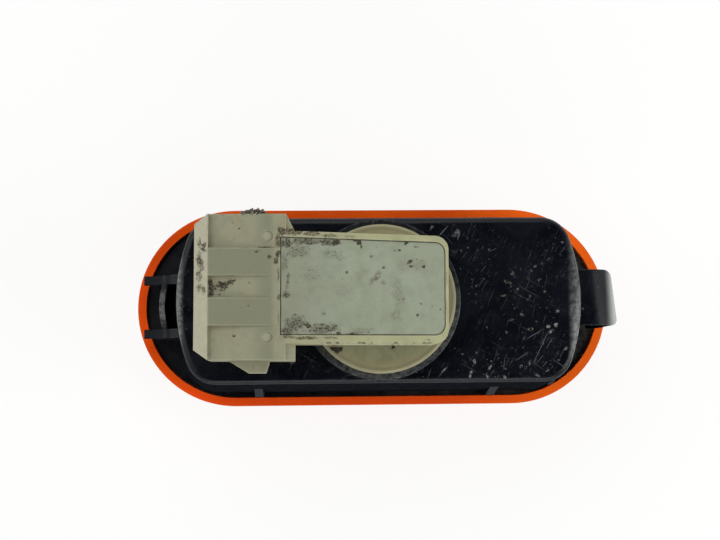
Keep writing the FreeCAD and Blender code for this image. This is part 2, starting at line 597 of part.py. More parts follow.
def add_hooks(body):
    """Two hooks that go behind the panel, with a curved guard wall between them."""
    root = wall_line(END_BASE, "hook_shoulder")
    nose_top = "(hook_throat + hook_thickness)"
    sketch = new_sketch(body, "XZ_Plane", "hooks", "hook_spacing / 2")
    polygon(sketch, [
        (f"-{wall_line(END_BASE, '0')}", FLANGE_TOP), (f"-{HOOK_ROOT}", FLANGE_TOP),
        (f"-{HOOK_ROOT}", "hook_throat"), (f"-{HOOK_TIP}", "hook_throat"),
        (f"-{HOOK_TIP}", f"{nose_top} - hook_thickness / 3"), (f"-{HOOK_ROOT}", nose_top),
        (f"-{root}", "hook_shoulder")])
    hook = pad(body, sketch, "hook_width", symmetric=True)
    mirror(body, [hook], "XZ_Plane")
    guard = new_sketch(body, "XY_Plane", "guard_wall", FLANGE_TOP)
    c, ro, ri = size(RIM_STRAIGHT), size(GUARD_RADIUS), size(f"{GUARD_RADIUS} - guard_thickness")
    half = math.degrees(math.asin(size("hook_spacing / 2") / ro))
    guard.addGeometry(arc(-c, 0, ro, 180 - half, 180 + half))
    inner_half = math.degrees(math.asin(size("hook_spacing / 2") / ri))
    guard.addGeometry(arc(-c, 0, ri, 180 - inner_half, 180 + inner_half))
    side = size("hook_spacing / 2")
    xo, xi = -c - math.sqrt(ro ** 2 - side ** 2), -c - math.sqrt(ri ** 2 - side ** 2)
    guard.addGeometry(line(xo, side, xi, side))
    guard.addGeometry(line(xo, -side, xi, -side))
    for edge, outer_end, inner_end in ((2, 1, 1), (3, 2, 2)):
        guard.addConstraint(Sketcher.Constraint("Coincident", edge, 1, 0, outer_end))
        guard.addConstraint(Sketcher.Constraint("Coincident", edge, 2, 1, inner_end))
        guard.addConstraint(Sketcher.Constraint("Horizontal", edge))
    pin(guard, 0, 3, f"-{RIM_STRAIGHT}", "0")
    pin(guard, 1, 3, f"-{RIM_STRAIGHT}", "0")
    drive(guard, Sketcher.Constraint("Radius", 0, ro), GUARD_RADIUS)
    drive(guard, Sketcher.Constraint("Radius", 1, ri), f"{GUARD_RADIUS} - guard_thickness")
    drive(guard, Sketcher.Constraint("DistanceY", -1, 1, 2, 1, side), "hook_spacing / 2")
    drive(guard, Sketcher.Constraint("DistanceY", 3, 1, -1, 1, side), "hook_spacing / 2")
    pad(body, guard, f"guard_height - {FLANGE_TOP}")


def add_clip(body):
    """The spring tongue: out from the end wall, round a bend and down to the panel."""
    near_side = clip_profile(body, "clip_near_side", "clip_offset - clip_width / 2", CLIP_REACH)
    far_side = clip_profile(body, "clip_far_side", "clip_offset + clip_width / 2", f"{CLIP_REACH} - clip_skew")
    loft("AdditiveLoft", body, near_side, far_side)
    corners = new_sketch(body, "XY_Plane", "clip_corners", "housing_height")
    lean = "clip_skew / clip_width"
    corner_waste(corners, CLIP_REACH, "clip_offset - clip_width / 2", "-", "clip_corner", lean)
    corner_waste(corners, f"({CLIP_REACH} - clip_skew)", "clip_offset + clip_width / 2", "+", "clip_corner", lean)
    pocket(body, corners, "housing_height")


def clip_profile(body, name, place, reach):
    sketch = new_sketch(body, "XZ_Plane", name, f"-({place})")
    t, ro = size("clip_thickness"), size("clip_bend")
    bx, bz = size(f"{reach} - clip_bend"), size(f"{CLIP_TOP} - clip_bend")
    tip_x, tip_z = size(f"{reach} - clip_tip_return"), size("clip_tip_height")
    root = wall_line(END_BASE, CLIP_TOP)
    root_x = size(root)
    span = math.hypot(tip_x - bx, tip_z - bz)
    lean = math.degrees(math.atan2(tip_z - bz, tip_x - bx) + math.acos(ro / span))
    ex, ez = math.cos(math.radians(lean)), math.sin(math.radians(lean))
    pieces = [
        line(root_x, bz + ro, bx, bz + ro),
        arc(bx, bz, ro, lean, 90),
        line(bx + ro * ex, bz + ro * ez, tip_x, tip_z),
        line(tip_x, tip_z, tip_x - t * ex, tip_z - t * ez),
        line(tip_x - t * ex, tip_z - t * ez, bx + (ro - t) * ex, bz + (ro - t) * ez),
        arc(bx, bz, ro - t, lean, 90),
        line(bx, bz + ro - t, root_x, bz + ro - t),
        line(root_x, bz + ro - t, root_x, bz + ro)]
    for piece in pieces:
        sketch.addGeometry(piece)
    joins = [("Tangent", 0, 2, 1, 2), ("Tangent", 1, 1, 2, 1), ("Coincident", 2, 2, 3, 1),
             ("Coincident", 3, 2, 4, 1), ("Tangent", 4, 2, 5, 1), ("Tangent", 5, 2, 6, 1),
             ("Coincident", 6, 2, 7, 1), ("Coincident", 7, 2, 0, 1), ("Coincident", 1, 3, 5, 3),
             ("Horizontal", 0), ("Vertical", 7), ("Perpendicular", 2, 3)]
    for join in joins:
        sketch.addConstraint(Sketcher.Constraint(*join))
    pin(sketch, 1, 3, f"{reach} - clip_bend", f"{CLIP_TOP} - clip_bend")
    pin(sketch, 2, 2, f"{reach} - clip_tip_return", "clip_tip_height")
    drive(sketch, Sketcher.Constraint("Radius", 1, ro), "clip_bend")
    drive(sketch, Sketcher.Constraint("Radius", 5, ro - t), "clip_bend - clip_thickness")
    drive(sketch, Sketcher.Constraint("DistanceX", -1, 1, 0, 1, root_x), root)
    return sketch


def add_collar(body):
    collar = new_sketch(body, "XY_Plane", "collar", CEILING)
    circle(collar, COLLAR_RADIUS)
    pad(body, collar, f"{COLLAR_TOP} - {CEILING}")


def hollow_housing(body, lean):
    """The lamp's inside, open towards the lens."""
    mouth = new_sketch(body, "XY_Plane", "hollow_mouth", POCKET_FLOOR)
    bowed_box(mouth, f"({END_BACK} + {lean} - housing_wall)",
              f"({SIDE_BACK} + {lean} - housing_wall)",
              "housing_corner - housing_wall", "housing_bow - housing_wall")
    ceiling = new_sketch(body, "XY_Plane", "hollow_ceiling", CEILING)
    bowed_box(ceiling, f"({END_BACK} - housing_wall)", f"({SIDE_BACK} - housing_wall)",
              "housing_corner - housing_wall", "housing_bow - housing_wall")
    loft("SubtractiveLoft", body, mouth, ceiling)


def cut_bayonet(body):
    """The holder's hole, its lug slots, and a stop beside each lug's locked place."""
    hole = new_sketch(body, "XY_Plane", "bayonet_hole", COLLAR_TOP)
    circle(hole, "hole_diameter / 2")
    pocket(body, hole, f"{COLLAR_TOP} - {CEILING}")
    slot = new_sketch(body, "XY_Plane", "lug_slot", COLLAR_TOP)
    tie(slot, "AttachmentOffset.Rotation.Angle", "twist")
    rectangle(slot, "hole_diameter / 2 - housing_wall", f"{LUG_REACH} + 2 * bayonet_clearance",
              "-lug_width / 2 - bayonet_clearance", "lug_width / 2 + bayonet_clearance")
    around(body, pocket(body, slot, f"{COLLAR_TOP} - {CEILING}"), "lug_count")
    stop = new_sketch(body, "XY_Plane", "lug_stop", CEILING)
    rectangle(stop, "hole_diameter / 2 + bayonet_clearance", LUG_REACH,
              "-lug_width / 2 - bayonet_clearance - stop_width", "-lug_width / 2 - bayonet_clearance")
    around(body, pad(body, stop, "bayonet_clearance + lug_thickness", backwards=True), "lug_count")


# Bulb holder: barrel, flange, arm and plug socket in one grey moulding


def make_holder():
    body = new_body("bulb_holder")
    turned = new_sketch(body, "XZ_Plane", "holder_turning")
    groove_top = f"({HOLDER_UNDER} + seal_depth)"
    edge = "holder_flange_diameter / 2"
    polygon(turned, [
        ("0", BARREL_END), (BARREL_RADIUS, BARREL_END), (BARREL_RADIUS, HOLDER_UNDER),
        (SEAL_INNER, HOLDER_UNDER), (SEAL_INNER, groove_top),
        (f"{SEAL_INNER} + seal_width", groove_top), (f"{SEAL_INNER} + seal_width", HOLDER_UNDER),
        (edge, HOLDER_UNDER), (edge, f"{HOLDER_TOP} - holder_flange_bevel"),
        (f"{edge} - holder_flange_bevel", HOLDER_TOP), ("0", HOLDER_TOP)])
    revolve("Revolution", body, turned)
    lug = new_sketch(body, "XY_Plane", "lug", LUG_TOP)
    rectangle(lug, "hole_diameter / 2 - housing_wall", LUG_REACH, "-lug_width / 2", "lug_width / 2")
    around(body, pad(body, lug, "lug_thickness", backwards=True), "lug_count")
    add_arm(body)
    add_plug_socket(body)
    cut_wiring_space(body)
    seat_holder_piece(body)
    return body


def add_arm(body):
    arm = new_sketch(body, "XY_Plane", "arm_plan", f"{HOLDER_TOP} - holder_flange_bevel")
    tongue_plan(arm, f"-{SOCKET_BACK} - socket_wall", "arm_end",
                f"arm_offset - {ARM_WIDTH} / 2", f"arm_offset + {ARM_WIDTH} / 2", "arm_corner", "arm_taper")
    pad(body, arm, f"{BACK} - {HOLDER_TOP} + holder_flange_bevel")


def add_plug_socket(body):
    """The shrouded two-pin socket at the arm's end, with its rails, step, bevel and latch nose."""
    low, high = "arm_offset - socket_width / 2", "arm_offset + socket_width / 2"
    block = new_sketch(body, "YZ_Plane", "socket_section", f"-{SOCKET_BACK}")
    rectangle(block, low, high, SOCKET_BOTTOM, BACK)
    pad(body, block, "socket_length - socket_bevel_length", backwards=True)
    wide = new_sketch(body, "YZ_Plane", "bevel_root", f"socket_bevel_length - {SOCKET_MOUTH}")
    rectangle(wide, low, high, SOCKET_BOTTOM, BACK)
    lip = new_sketch(body, "YZ_Plane", "bevel_lip", f"-{SOCKET_MOUTH}")
    rectangle(lip, f"{low} + socket_bevel", f"{high} - socket_bevel",
              f"{SOCKET_BOTTOM} + socket_bevel", f"{BACK} - socket_bevel")
    loft("AdditiveLoft", body, wide, lip)
    step = new_sketch(body, "XY_Plane", "socket_step", SOCKET_BOTTOM)
    polygon(step, [
        (f"-{SOCKET_BACK} - socket_wall", low), (f"shoulder_width - {SOCKET_BACK}", low),
        (f"shoulder_width - {SOCKET_BACK}", f"{high} - 2 * shoulder_width"),
        (f"-{SOCKET_BACK}", f"{high}"), (f"-{SOCKET_BACK} - socket_wall", high)])
    pad(body, step, f"{BACK} - {SOCKET_BOTTOM} - shoulder_drop")
    nose = new_sketch(body, "XY_Plane", "latch_nose", f"{BACK} - nose_drop")
    polygon(nose, [
        (f"-{NOSE_END}", f"{low} + socket_wall / 2"), (f"-{NOSE_END}", low),
        (f"-{NOSE_END} - nose_heel", f"{low} - nose_reach"),
        (f"-{NOSE_END} - nose_heel - nose_tip", f"{low} - nose_reach"),
        (f"-{NOSE_END} - nose_heel - nose_tip - nose_ramp", low),
        (f"-{NOSE_END} - nose_heel - nose_tip - nose_ramp", f"{low} + socket_wall / 2")])
    pad(body, nose, "nose_height", backwards=True)
    cut_channels(body)
    mouth = new_sketch(body, "YZ_Plane", "socket_mouth_cut", f"-{SOCKET_MOUTH}")
    rectangle(mouth, f"{low} + socket_wall", f"{high} - socket_wall",
              f"{SOCKET_BOTTOM} + socket_wall", f"{BACK} - socket_wall")
    pocket(body, mouth, "socket_depth", backwards=True)


def cut_channels(body):
    """Sloping channels that leave two rails standing on the socket's back, and the ejector marks."""
    mouth_end, shallow_end = f"socket_bevel_length - {SOCKET_MOUTH}", f"-{SOCKET_BACK} - socket_wall"
    outer_width = "(socket_width / 2 - rail_outer)"
    rows = (("middle_channel", "arm_offset", "2 * rail_inner"),
            ("upper_channel", f"arm_offset + rail_outer + {outer_width} / 2", outer_width),
            ("lower_channel", f"arm_offset - rail_outer - {outer_width} / 2", outer_width))
    for name, middle, width in rows:
        wedge = new_sketch(body, "XZ_Plane", name, f"-({middle})")
        polygon(wedge, [(mouth_end, BACK), (mouth_end, f"{BACK} - channel_depth"),
                        (shallow_end, BACK)])
        pocket(body, wedge, width, symmetric=True)
    marks = new_sketch(body, "XY_Plane", "ejector_marks", BACK)
    for side in ("arm_offset + mark_spread", "arm_offset - mark_spread"):
        circle(marks, "mark_diameter / 2", f"-{MARK_PLACE}", side)
    pocket(body, marks, "mark_depth")


def cut_wiring_space(body):
    """The cover's seat, the trough for the contacts, the bulb's well and the blades' slots."""
    half = f"({ARM_WIDTH} / 2 - cover_border)"
    seat = new_sketch(body, "XY_Plane", "cover_seat", BACK)
    tongue_plan(seat, f"-{SOCKET_BACK} - cover_lap", "arm_end - cover_end_border",
                f"arm_offset - {half}", f"arm_offset + {half} + cover_shift", "arm_corner - cover_end_border",
                "arm_taper")
    pocket(body, seat, "cover_thickness")
    trough = new_sketch(body, "XY_Plane", "trough", f"{BACK} - cover_thickness")
    rectangle(trough, f"-{SOCKET_BACK} + cover_ledge", "arm_end - cover_border - cover_ledge",
              f"arm_offset - {half} + cover_ledge", f"arm_offset + {half} - cover_ledge")
    pocket(body, trough, f"{BACK} - cover_thickness - {BLADE_UNDER}")
    well = new_sketch(body, "XY_Plane", "bulb_well", BARREL_END)
    rectangle(well, f"-{WELL_WIDTH} / 2", f"{WELL_WIDTH} / 2", f"-{WELL_DEPTH} / 2", f"{WELL_DEPTH} / 2")
    pocket(body, well, f"{BLADE_UNDER} - {BARREL_END}", backwards=True)
    slots = new_sketch(body, "YZ_Plane", "blade_slots", f"-{SOCKET_FLOOR}")
    for middle in ("arm_offset + pin_spacing / 2", "arm_offset - pin_spacing / 2"):
        rectangle(slots, f"{middle} - blade_width / 2 - blade_clearance",
                  f"{middle} + blade_width / 2 + blade_clearance",
                  BLADE_UNDER, f"{BLADE_UNDER} + blade_thickness + blade_clearance")
    pocket(body, slots, f"{SOCKET_FLOOR} - {SOCKET_BACK} + cover_ledge", backwards=True)


def make_cover():
    body = new_body("holder_cover")
    half = f"({ARM_WIDTH} / 2 - cover_border - cover_gap)"
    plan = new_sketch(body, "XY_Plane", "cover_plan", BACK)
    tongue_plan(plan, COVER_LEFT, "arm_end - cover_end_border - cover_gap",
                f"arm_offset - {half}", f"arm_offset + {half} + cover_shift",
                "arm_corner - cover_end_border - cover_gap", "arm_taper")
    pad(body, plan, "cover_thickness", backwards=True)
    seat_holder_piece(body)
    return body


def make_seal():
    """Rubber ring in the holder flange's groove, pressed on the collar."""
    body = new_body("holder_seal")
    section = new_sketch(body, "XZ_Plane", "seal_section")
    rectangle(section, f"{SEAL_INNER} + seal_clearance", f"{SEAL_INNER} + seal_width - seal_clearance",
              COLLAR_TOP, f"{HOLDER_UNDER} + seal_depth")
    revolve("Revolution", body, section)
    seat_holder_piece(body)
    return body


# Contacts: each a blade for the plug, a run along the trough and a spring on the bulb's wedge


def make_contact(label, sign):
    body = new_body(label)
    middle = f"(arm_offset {sign} pin_spacing / 2)"
    inner = f"({middle} {'-' if sign == '+' else '+'} blade_width / 2)"
    outer = f"({middle} {sign} blade_width / 2)"
    strip = new_sketch(body, "XY_Plane", f"{label}_strip", BLADE_UNDER)
    inward = "-" if sign == "+" else "+"
    polygon(strip, [
        (f"-{BLADE_TIP} + blade_taper", inner), ("spring_width / 2", inner), ("spring_width / 2", outer),
        (f"-{BLADE_TIP} + blade_taper", outer), (f"-{BLADE_TIP}", f"{outer} {inward} blade_taper"),
        (f"-{BLADE_TIP}", f"{inner} {sign} blade_taper")])
    pad(body, strip, "blade_thickness")
    side = "" if sign == "+" else "-"
    neck = f"{side}{SPRING_NECK}"
    tab = new_sketch(body, "XY_Plane", f"{label}_tab", BLADE_UNDER)
    rectangle(tab, "-spring_width / 2", "spring_width / 2", *((neck, outer) if sign == "+" else (outer, neck)))
    pad(body, tab, "blade_thickness")
    top = f"({BLADE_UNDER} + blade_thickness)"
    foot = f"({BARREL_END} + spring_flare)"
    touch = f"({BARREL_END} + wedge_length / 2)"
    spring = new_sketch(body, "YZ_Plane", f"{label}_spring")
    polygon(spring, [
        (neck, top), (f"{side}{CONTACT_FACE}", touch), (neck, foot), (f"{neck} {sign} spring_thickness", foot),
        (f"{side}({CONTACT_FACE} + spring_thickness)", touch), (f"{neck} {sign} spring_thickness", top)])
    pad(body, spring, "spring_width", symmetric=True)
    seat_holder_piece(body)
    return body


# Bulb: glass with a flat wedge, two leads folded back on the wedge, and a filament between them


def make_bulb_glass():
    body = new_body("bulb_glass")
    tip = f"({BULB_SEAT} - bulb_length)"
    capsule(body, "glass_outside", "Revolution", "bulb_diameter / 2", tip, f"{BULB_SEAT} - wedge_length")
    wedge = new_sketch(body, "XY_Plane", "wedge", BULB_SEAT)
    rectangle(wedge, "-wedge_width / 2", "wedge_width / 2", "-wedge_thickness / 2", "wedge_thickness / 2")
    pad(body, wedge, "wedge_length + bulb_wall", backwards=True)
    capsule(body, "glass_inside", "Groove", "bulb_diameter / 2 - bulb_wall", f"{tip} + bulb_wall",
            f"{BULB_SEAT} - wedge_length - bulb_wall")
    holes = new_sketch(body, "XY_Plane", "lead_holes", BULB_SEAT)
    for x in ("lead_spacing / 2", "-lead_spacing / 2"):
        circle(holes, "lead_diameter / 2", x)
    pocket(body, holes, "wedge_length + bulb_diameter / 2")
    seat_holder_piece(body)
    return body


def capsule(body, name, kind, radius, low, high):
    """A round-ended tube on the bulb's axis, added or cut away."""
    sketch = new_sketch(body, "XZ_Plane", name)
    r, z0, z1 = size(radius), size(low), size(high)
    sketch.addGeometry(arc(0, z0 + r, r, 270, 360))
    sketch.addGeometry(line(r, z0 + r, r, z1 - r))
    sketch.addGeometry(arc(0, z1 - r, r, 0, 90))
    sketch.addGeometry(line(0, z1, 0, z0))
    joins = [("Tangent", 0, 2, 1, 1), ("Tangent", 1, 2, 2, 1),
             ("Coincident", 2, 2, 3, 1), ("Coincident", 3, 2, 0, 1)]
    for join in joins:
        sketch.addConstraint(Sketcher.Constraint(*join))
    pin(sketch, 0, 3, "0", f"{low} + {radius}")
    pin(sketch, 2, 3, "0", f"{high} - {radius}")
    drive(sketch, Sketcher.Constraint("Radius", 0, r), radius)
    sketch.addConstraint(Sketcher.Constraint("PointOnObject", 3, 1, -2))
    sketch.addConstraint(Sketcher.Constraint("PointOnObject", 3, 2, -2))
    revolve(kind, body, sketch)


def make_lead(label, sign):
    """A wire up through the wedge, bent over its end and back along one face."""
    body = new_body(label)
    side = "" if sign == "+" else "-"
    s = 1 if sign == "+" else -1
    path = new_sketch(body, "YZ_Plane", f"{label}_path", f"{side}lead_spacing / 2")
    turn, top = size(LEAD_OFFSET) / 2, size(f"{BULB_SEAT} + lead_diameter")
    low, tail = size(FILAMENT), size(f"{BULB_SEAT} - lead_tail")
    path.addGeometry(line(0, low, 0, top))
    path.addGeometry(arc(s * turn, top, turn, 0, 180))
    path.addGeometry(line(2 * s * turn, top, 2 * s * turn, tail))
    near_end, far_end = (2, 1) if s > 0 else (1, 2)
    path.addConstraint(Sketcher.Constraint("Tangent", 0, 2, 1, near_end))
    path.addConstraint(Sketcher.Constraint("Tangent", 1, far_end, 2, 1))
    pin(path, 0, 1, "0", FILAMENT)
    pin(path, 1, 3, f"{side}{LEAD_OFFSET} / 2", f"{BULB_SEAT} + lead_diameter")
    path.addConstraint(Sketcher.Constraint("Vertical", 0))
    path.addConstraint(Sketcher.Constraint("Vertical", 2))
    drive(path, Sketcher.Constraint("DistanceY", -1, 1, 2, 2, tail), f"{BULB_SEAT} - lead_tail")
    section = new_sketch(body, "XY_Plane", f"{label}_section", FILAMENT)
    circle(section, "lead_diameter / 2", f"{side}lead_spacing / 2")
    wire = body.newObject("PartDesign::AdditivePipe", f"{label}_wire")
    wire.Profile = section
    wire.Spine = (path, ["Edge1", "Edge2", "Edge3"])
    doc.recompute()
    seat_holder_piece(body)
    return body


def make_filament():
    body = new_body("bulb_filament")
    section = new_sketch(body, "YZ_Plane", "filament_section")
    circle(section, "filament_diameter / 2", "0", f"{FILAMENT} + lead_diameter")
    pad(body, section, "lead_spacing - lead_diameter - 2 * spring_clearance", symmetric=True)
    seat_holder_piece(body)
    return body


def write_parts(parts):
    doc.recompute()
    for thing in doc.Objects:
        if "Invalid" in thing.State or "Error" in thing.State:
            raise RuntimeError(f"{thing.Label} did not build: {thing.State}")
    os.makedirs(OUT, exist_ok=True)
    for part in parts:
        shape = part.Shape
        if shape.isNull() or not shape.isValid() or not shape.Solids:
            raise RuntimeError(f"{part.Label} has no valid solid")
        shape.exportStep(os.path.join(OUT, part.Label + ".step"))


def main():
    write_parts([
        make_lens(), make_housing(), make_holder(), make_cover(), make_seal(),
        make_contact("contact_live", "+"), make_contact("contact_earth", "-"),
        make_bulb_glass(), make_lead("bulb_lead_live", "+"), make_lead("bulb_lead_earth", "-"),
        make_filament()])


main()
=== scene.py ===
"""Looks of an oval side indicator lamp that lies on its amber lens, seen from behind.

The solids keep their shapes and get moulded-plastic, amber, glass, rubber and metal finishes. Soil grains,
a ragged moulding edge and the bulb's coiled filament are made here. Sizes in the finishes are in
millimetres of the lamp's own frame: +X towards the spring tongue, +Z out of the back.
"""

import math

import bmesh
import bpy
from mathutils import Matrix, Vector


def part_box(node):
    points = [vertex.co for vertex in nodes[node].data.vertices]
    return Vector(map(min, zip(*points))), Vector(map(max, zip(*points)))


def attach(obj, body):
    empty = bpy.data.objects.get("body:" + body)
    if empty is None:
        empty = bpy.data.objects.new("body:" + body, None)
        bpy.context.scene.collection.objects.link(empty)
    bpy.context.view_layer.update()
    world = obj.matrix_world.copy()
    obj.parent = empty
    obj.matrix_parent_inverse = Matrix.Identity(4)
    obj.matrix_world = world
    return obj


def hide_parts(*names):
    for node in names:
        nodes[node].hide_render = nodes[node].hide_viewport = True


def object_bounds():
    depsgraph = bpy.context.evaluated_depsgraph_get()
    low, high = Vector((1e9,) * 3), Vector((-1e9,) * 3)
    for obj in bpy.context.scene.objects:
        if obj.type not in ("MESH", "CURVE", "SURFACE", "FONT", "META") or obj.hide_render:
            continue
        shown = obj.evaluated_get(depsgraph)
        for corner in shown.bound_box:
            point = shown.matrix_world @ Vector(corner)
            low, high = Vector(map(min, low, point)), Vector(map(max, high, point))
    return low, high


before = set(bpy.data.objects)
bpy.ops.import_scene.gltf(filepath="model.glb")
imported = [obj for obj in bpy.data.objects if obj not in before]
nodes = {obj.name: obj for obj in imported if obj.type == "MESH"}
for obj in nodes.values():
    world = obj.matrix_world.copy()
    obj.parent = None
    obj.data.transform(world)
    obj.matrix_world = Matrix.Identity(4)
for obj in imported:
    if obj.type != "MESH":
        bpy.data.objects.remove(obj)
cad_low, cad_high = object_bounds()

MM = 0.001
FLOOR_HEIGHT = cad_low.z
HOLDER_TURN = math.radians(-0.6)

# Heights over the rim's rear face and places along the lamp, in mm
BACK_OF_HOLDER = 33.6
BACK_OF_HOUSING = 20.0
BACK_OF_FLANGE = 24.2
ARM_EDGE = -7.8
CHANNEL_FLOOR = 32.6
CHANNEL_START = -28.05
CHANNEL_LENGTH = 10.5


# Small helpers that lay out nodes: put returns the node, the others the sockets that carry the result


def put(tree, kind, inputs=None, **settings):
    node = tree.nodes.new(kind)
    for name, value in settings.items():
        setattr(node, name, value)
    for key, value in (inputs or {}).items():
        if isinstance(value, bpy.types.NodeSocket):
            tree.links.new(value, node.inputs[key])
        else:
            node.inputs[key].default_value = value
    return node


def calc(tree, operation, first, second=0.0, third=0.0, clamp=False):
    sockets = {0: first, 1: second, 2: third}
    return put(tree, "ShaderNodeMath", sockets, operation=operation, use_clamp=clamp).outputs[0]


def times(tree, first, *others):
    for other in others:
        first = calc(tree, "MULTIPLY", first, other)
    return first


def over(tree, first, *others):
    for other in others:
        first = calc(tree, "MAXIMUM", first, other)
    return first


def move(tree, operation, first, second=(0.0, 0.0, 0.0)):
    node = put(tree, "ShaderNodeVectorMath", {0: first, 1: second}, operation=operation)
    return node.outputs["Value" if operation == "LENGTH" else "Vector"]


def span(tree, value, low, high, start=0.0, end=1.0):
    """A soft step from start to end while the value goes from low to high."""
    sockets = {"Value": value, "From Min": low, "From Max": high, "To Min": start, "To Max": end}
    return put(tree, "ShaderNodeMapRange", sockets, interpolation_type="SMOOTHSTEP").outputs["Result"]


def cloud(tree, place, pitch, detail=4.0, rough=0.55, bend=0.0):
    sockets = {"Vector": place, "Scale": 1.0 / pitch, "Detail": detail,
               "Roughness": rough, "Distortion": bend}
    return put(tree, "ShaderNodeTexNoise", sockets).outputs[0]


def stretched(tree, place, factors):
    return move(tree, "MULTIPLY", place, factors)


def parts(tree, vector):
    return put(tree, "ShaderNodeSeparateXYZ", {0: vector}).outputs


def tint(tree, share, under, upper):
    node = put(tree, "ShaderNodeMix", data_type="RGBA")
    for index, value in ((0, share), (6, under), (7, upper)):
        if isinstance(value, bpy.types.NodeSocket):
            tree.links.new(value, node.inputs[index])
        elif index == 0:
            node.inputs[index].default_value = value
        else:
            node.inputs[index].default_value = (*value, 1.0)
    return node.outputs[2]


def fade(tree, share, under, upper):
    node = put(tree, "ShaderNodeMix", data_type="FLOAT")
    for index, value in ((0, share), (2, under), (3, upper)):
        if isinstance(value, bpy.types.NodeSocket):
            tree.links.new(value, node.inputs[index])
        else:
            node.inputs[index].default_value = value
    return node.outputs[0]


# Patterns shared by several finishes, each a node group with named inputs


def new_group(name, inputs, output):
    group = bpy.data.node_groups.new(name, "ShaderNodeTree")
    for label, kind, value in inputs:
        socket = group.interface.new_socket(name=label, in_out="INPUT", socket_type=kind)
        socket.default_value = value
    group.interface.new_socket(name=output, in_out="OUTPUT", socket_type="NodeSocketFloat")
    return group, group.nodes.new("NodeGroupInput").outputs, group.nodes.new("NodeGroupOutput").inputs


def make_soil_patch():
    """A soft oval mark at one place, with a ragged border."""
    group, given, result = new_group("soil_patch", [
        ("Place", "NodeSocketVector", (0, 0, 0)), ("Ragged", "NodeSocketFloat", 0.0),
        ("Middle", "NodeSocketVector", (0, 0, 0)), ("Half Size", "NodeSocketVector", (1, 1, 1)),
        ("Turn", "NodeSocketFloat", 0.0), ("Strength", "NodeSocketFloat", 1.0)], "Share")
    from_middle = move(group, "SUBTRACT", given["Place"], given["Middle"])
    turned = put(group, "ShaderNodeVectorRotate", {"Vector": from_middle, "Angle": given["Turn"]},
                 rotation_type="Z_AXIS", invert=True).outputs[0]
    reach = move(group, "LENGTH", move(group, "DIVIDE", turned, given["Half Size"]))
    share = span(group, calc(group, "ADD", reach, given["Ragged"]), 1.15, 0.45)
    group.links.new(times(group, share, given["Strength"]), result["Share"])
    return group


def make_specks():
    """Scattered specks of uneven size, a share of the cells of a loose grid."""
    group, given, result = new_group("specks", [
        ("Place", "NodeSocketVector", (0, 0, 0)), ("Pitch", "NodeSocketFloat", 1.0),
        ("Part Filled", "NodeSocketFloat", 0.3), ("Largest", "NodeSocketFloat", 0.3)], "Share")
    shake = put(group, "ShaderNodeTexNoise", {"Vector": given["Place"], "Scale": 3.0, "Detail": 3.0})
    shift = move(group, "MULTIPLY", shake.outputs[1], (0.4, 0.4, 0.4))
    shaken = move(group, "ADD", given["Place"], shift)
    pitch = given["Pitch"]
    cell = put(group, "ShaderNodeCombineXYZ", {0: pitch, 1: pitch, 2: pitch}).outputs[0]
    gridded = move(group, "DIVIDE", shaken, cell)
    cells = put(group, "ShaderNodeTexVoronoi", {"Vector": gridded, "Scale": 1.0, "Randomness": 1.0})
    lot = put(group, "ShaderNodeSeparateColor", {0: cells.outputs["Color"]}).outputs
    chosen = calc(group, "LESS_THAN", lot[0], given["Part Filled"])
    size = times(group, given["Largest"], calc(group, "ADD", lot[1], 0.25))
    share = span(group, calc(group, "DIVIDE", cells.outputs["Distance"], size), 1.0, 0.55)
    group.links.new(times(group, share, chosen), result["Share"])
    return group


def make_scratches():
    """Fine scratches that run mostly one way, broken and tapered at both ends."""
    group, given, result = new_group("scratches", [
        ("Place", "NodeSocketVector", (0, 0, 0)), ("Turn", "NodeSocketFloat", 0.0),
        ("Length", "NodeSocketFloat", 5.0), ("Spacing", "NodeSocketFloat", 1.0),
        ("Width", "NodeSocketFloat", 0.05), ("Part Filled", "NodeSocketFloat", 0.3)], "Share")
    drift = put(group, "ShaderNodeTexNoise", {"Vector": given["Place"], "Scale": 0.12, "Detail": 1.0})
    shift = move(group, "MULTIPLY", drift.outputs[1], (3.0, 3.0, 0.0))
    bent = move(group, "ADD", given["Place"], shift)
    turned = put(group, "ShaderNodeVectorRotate", {"Vector": bent, "Angle": given["Turn"]},
                 rotation_type="Z_AXIS").outputs[0]
    cell = put(group, "ShaderNodeCombineXYZ", {0: given["Length"], 1: given["Spacing"], 2: 1.0}).outputs[0]
    gridded = move(group, "DIVIDE", turned, cell)
    cells = put(group, "ShaderNodeTexVoronoi", {"Vector": gridded, "Scale": 1.0, "Randomness": 1.0},
                voronoi_dimensions="2D")
    offset = move(group, "MULTIPLY", move(group, "SUBTRACT", gridded, cells.outputs["Position"]), cell)
    along = parts(group, offset)
    lot = put(group, "ShaderNodeSeparateColor", {0: cells.outputs["Color"]}).outputs
    across = span(group, calc(group, "DIVIDE", calc(group, "ABSOLUTE", along[1]), given["Width"]), 1.0, 0.3)
    half = times(group, given["Length"], calc(group, "MULTIPLY_ADD", lot[1], 0.35, 0.08))
    taper = span(group, calc(group, "DIVIDE", calc(group, "ABSOLUTE", along[0]), half), 1.0, 0.4)
    chosen = calc(group, "LESS_THAN", lot[0], given["Part Filled"])
    strength = calc(group, "MULTIPLY_ADD", lot[2], 0.7, 0.3)
    share = times(group, across, taper, chosen, strength)
    group.links.new(share, result["Share"])
    return group


SOIL_PATCH = make_soil_patch()
SPECKS = make_specks()
SCRATCHES = make_scratches()


def use(tree, group, **inputs):
    node = tree.nodes.new("ShaderNodeGroup")
    node.node_tree = group
    for name, value in inputs.items():
        socket = node.inputs[name.replace("_", " ")]
        if isinstance(value, bpy.types.NodeSocket):
            tree.links.new(value, socket)
        else:
            socket.default_value = value
    return node.outputs[0]


MARK_HALF_HEIGHT = 2.5


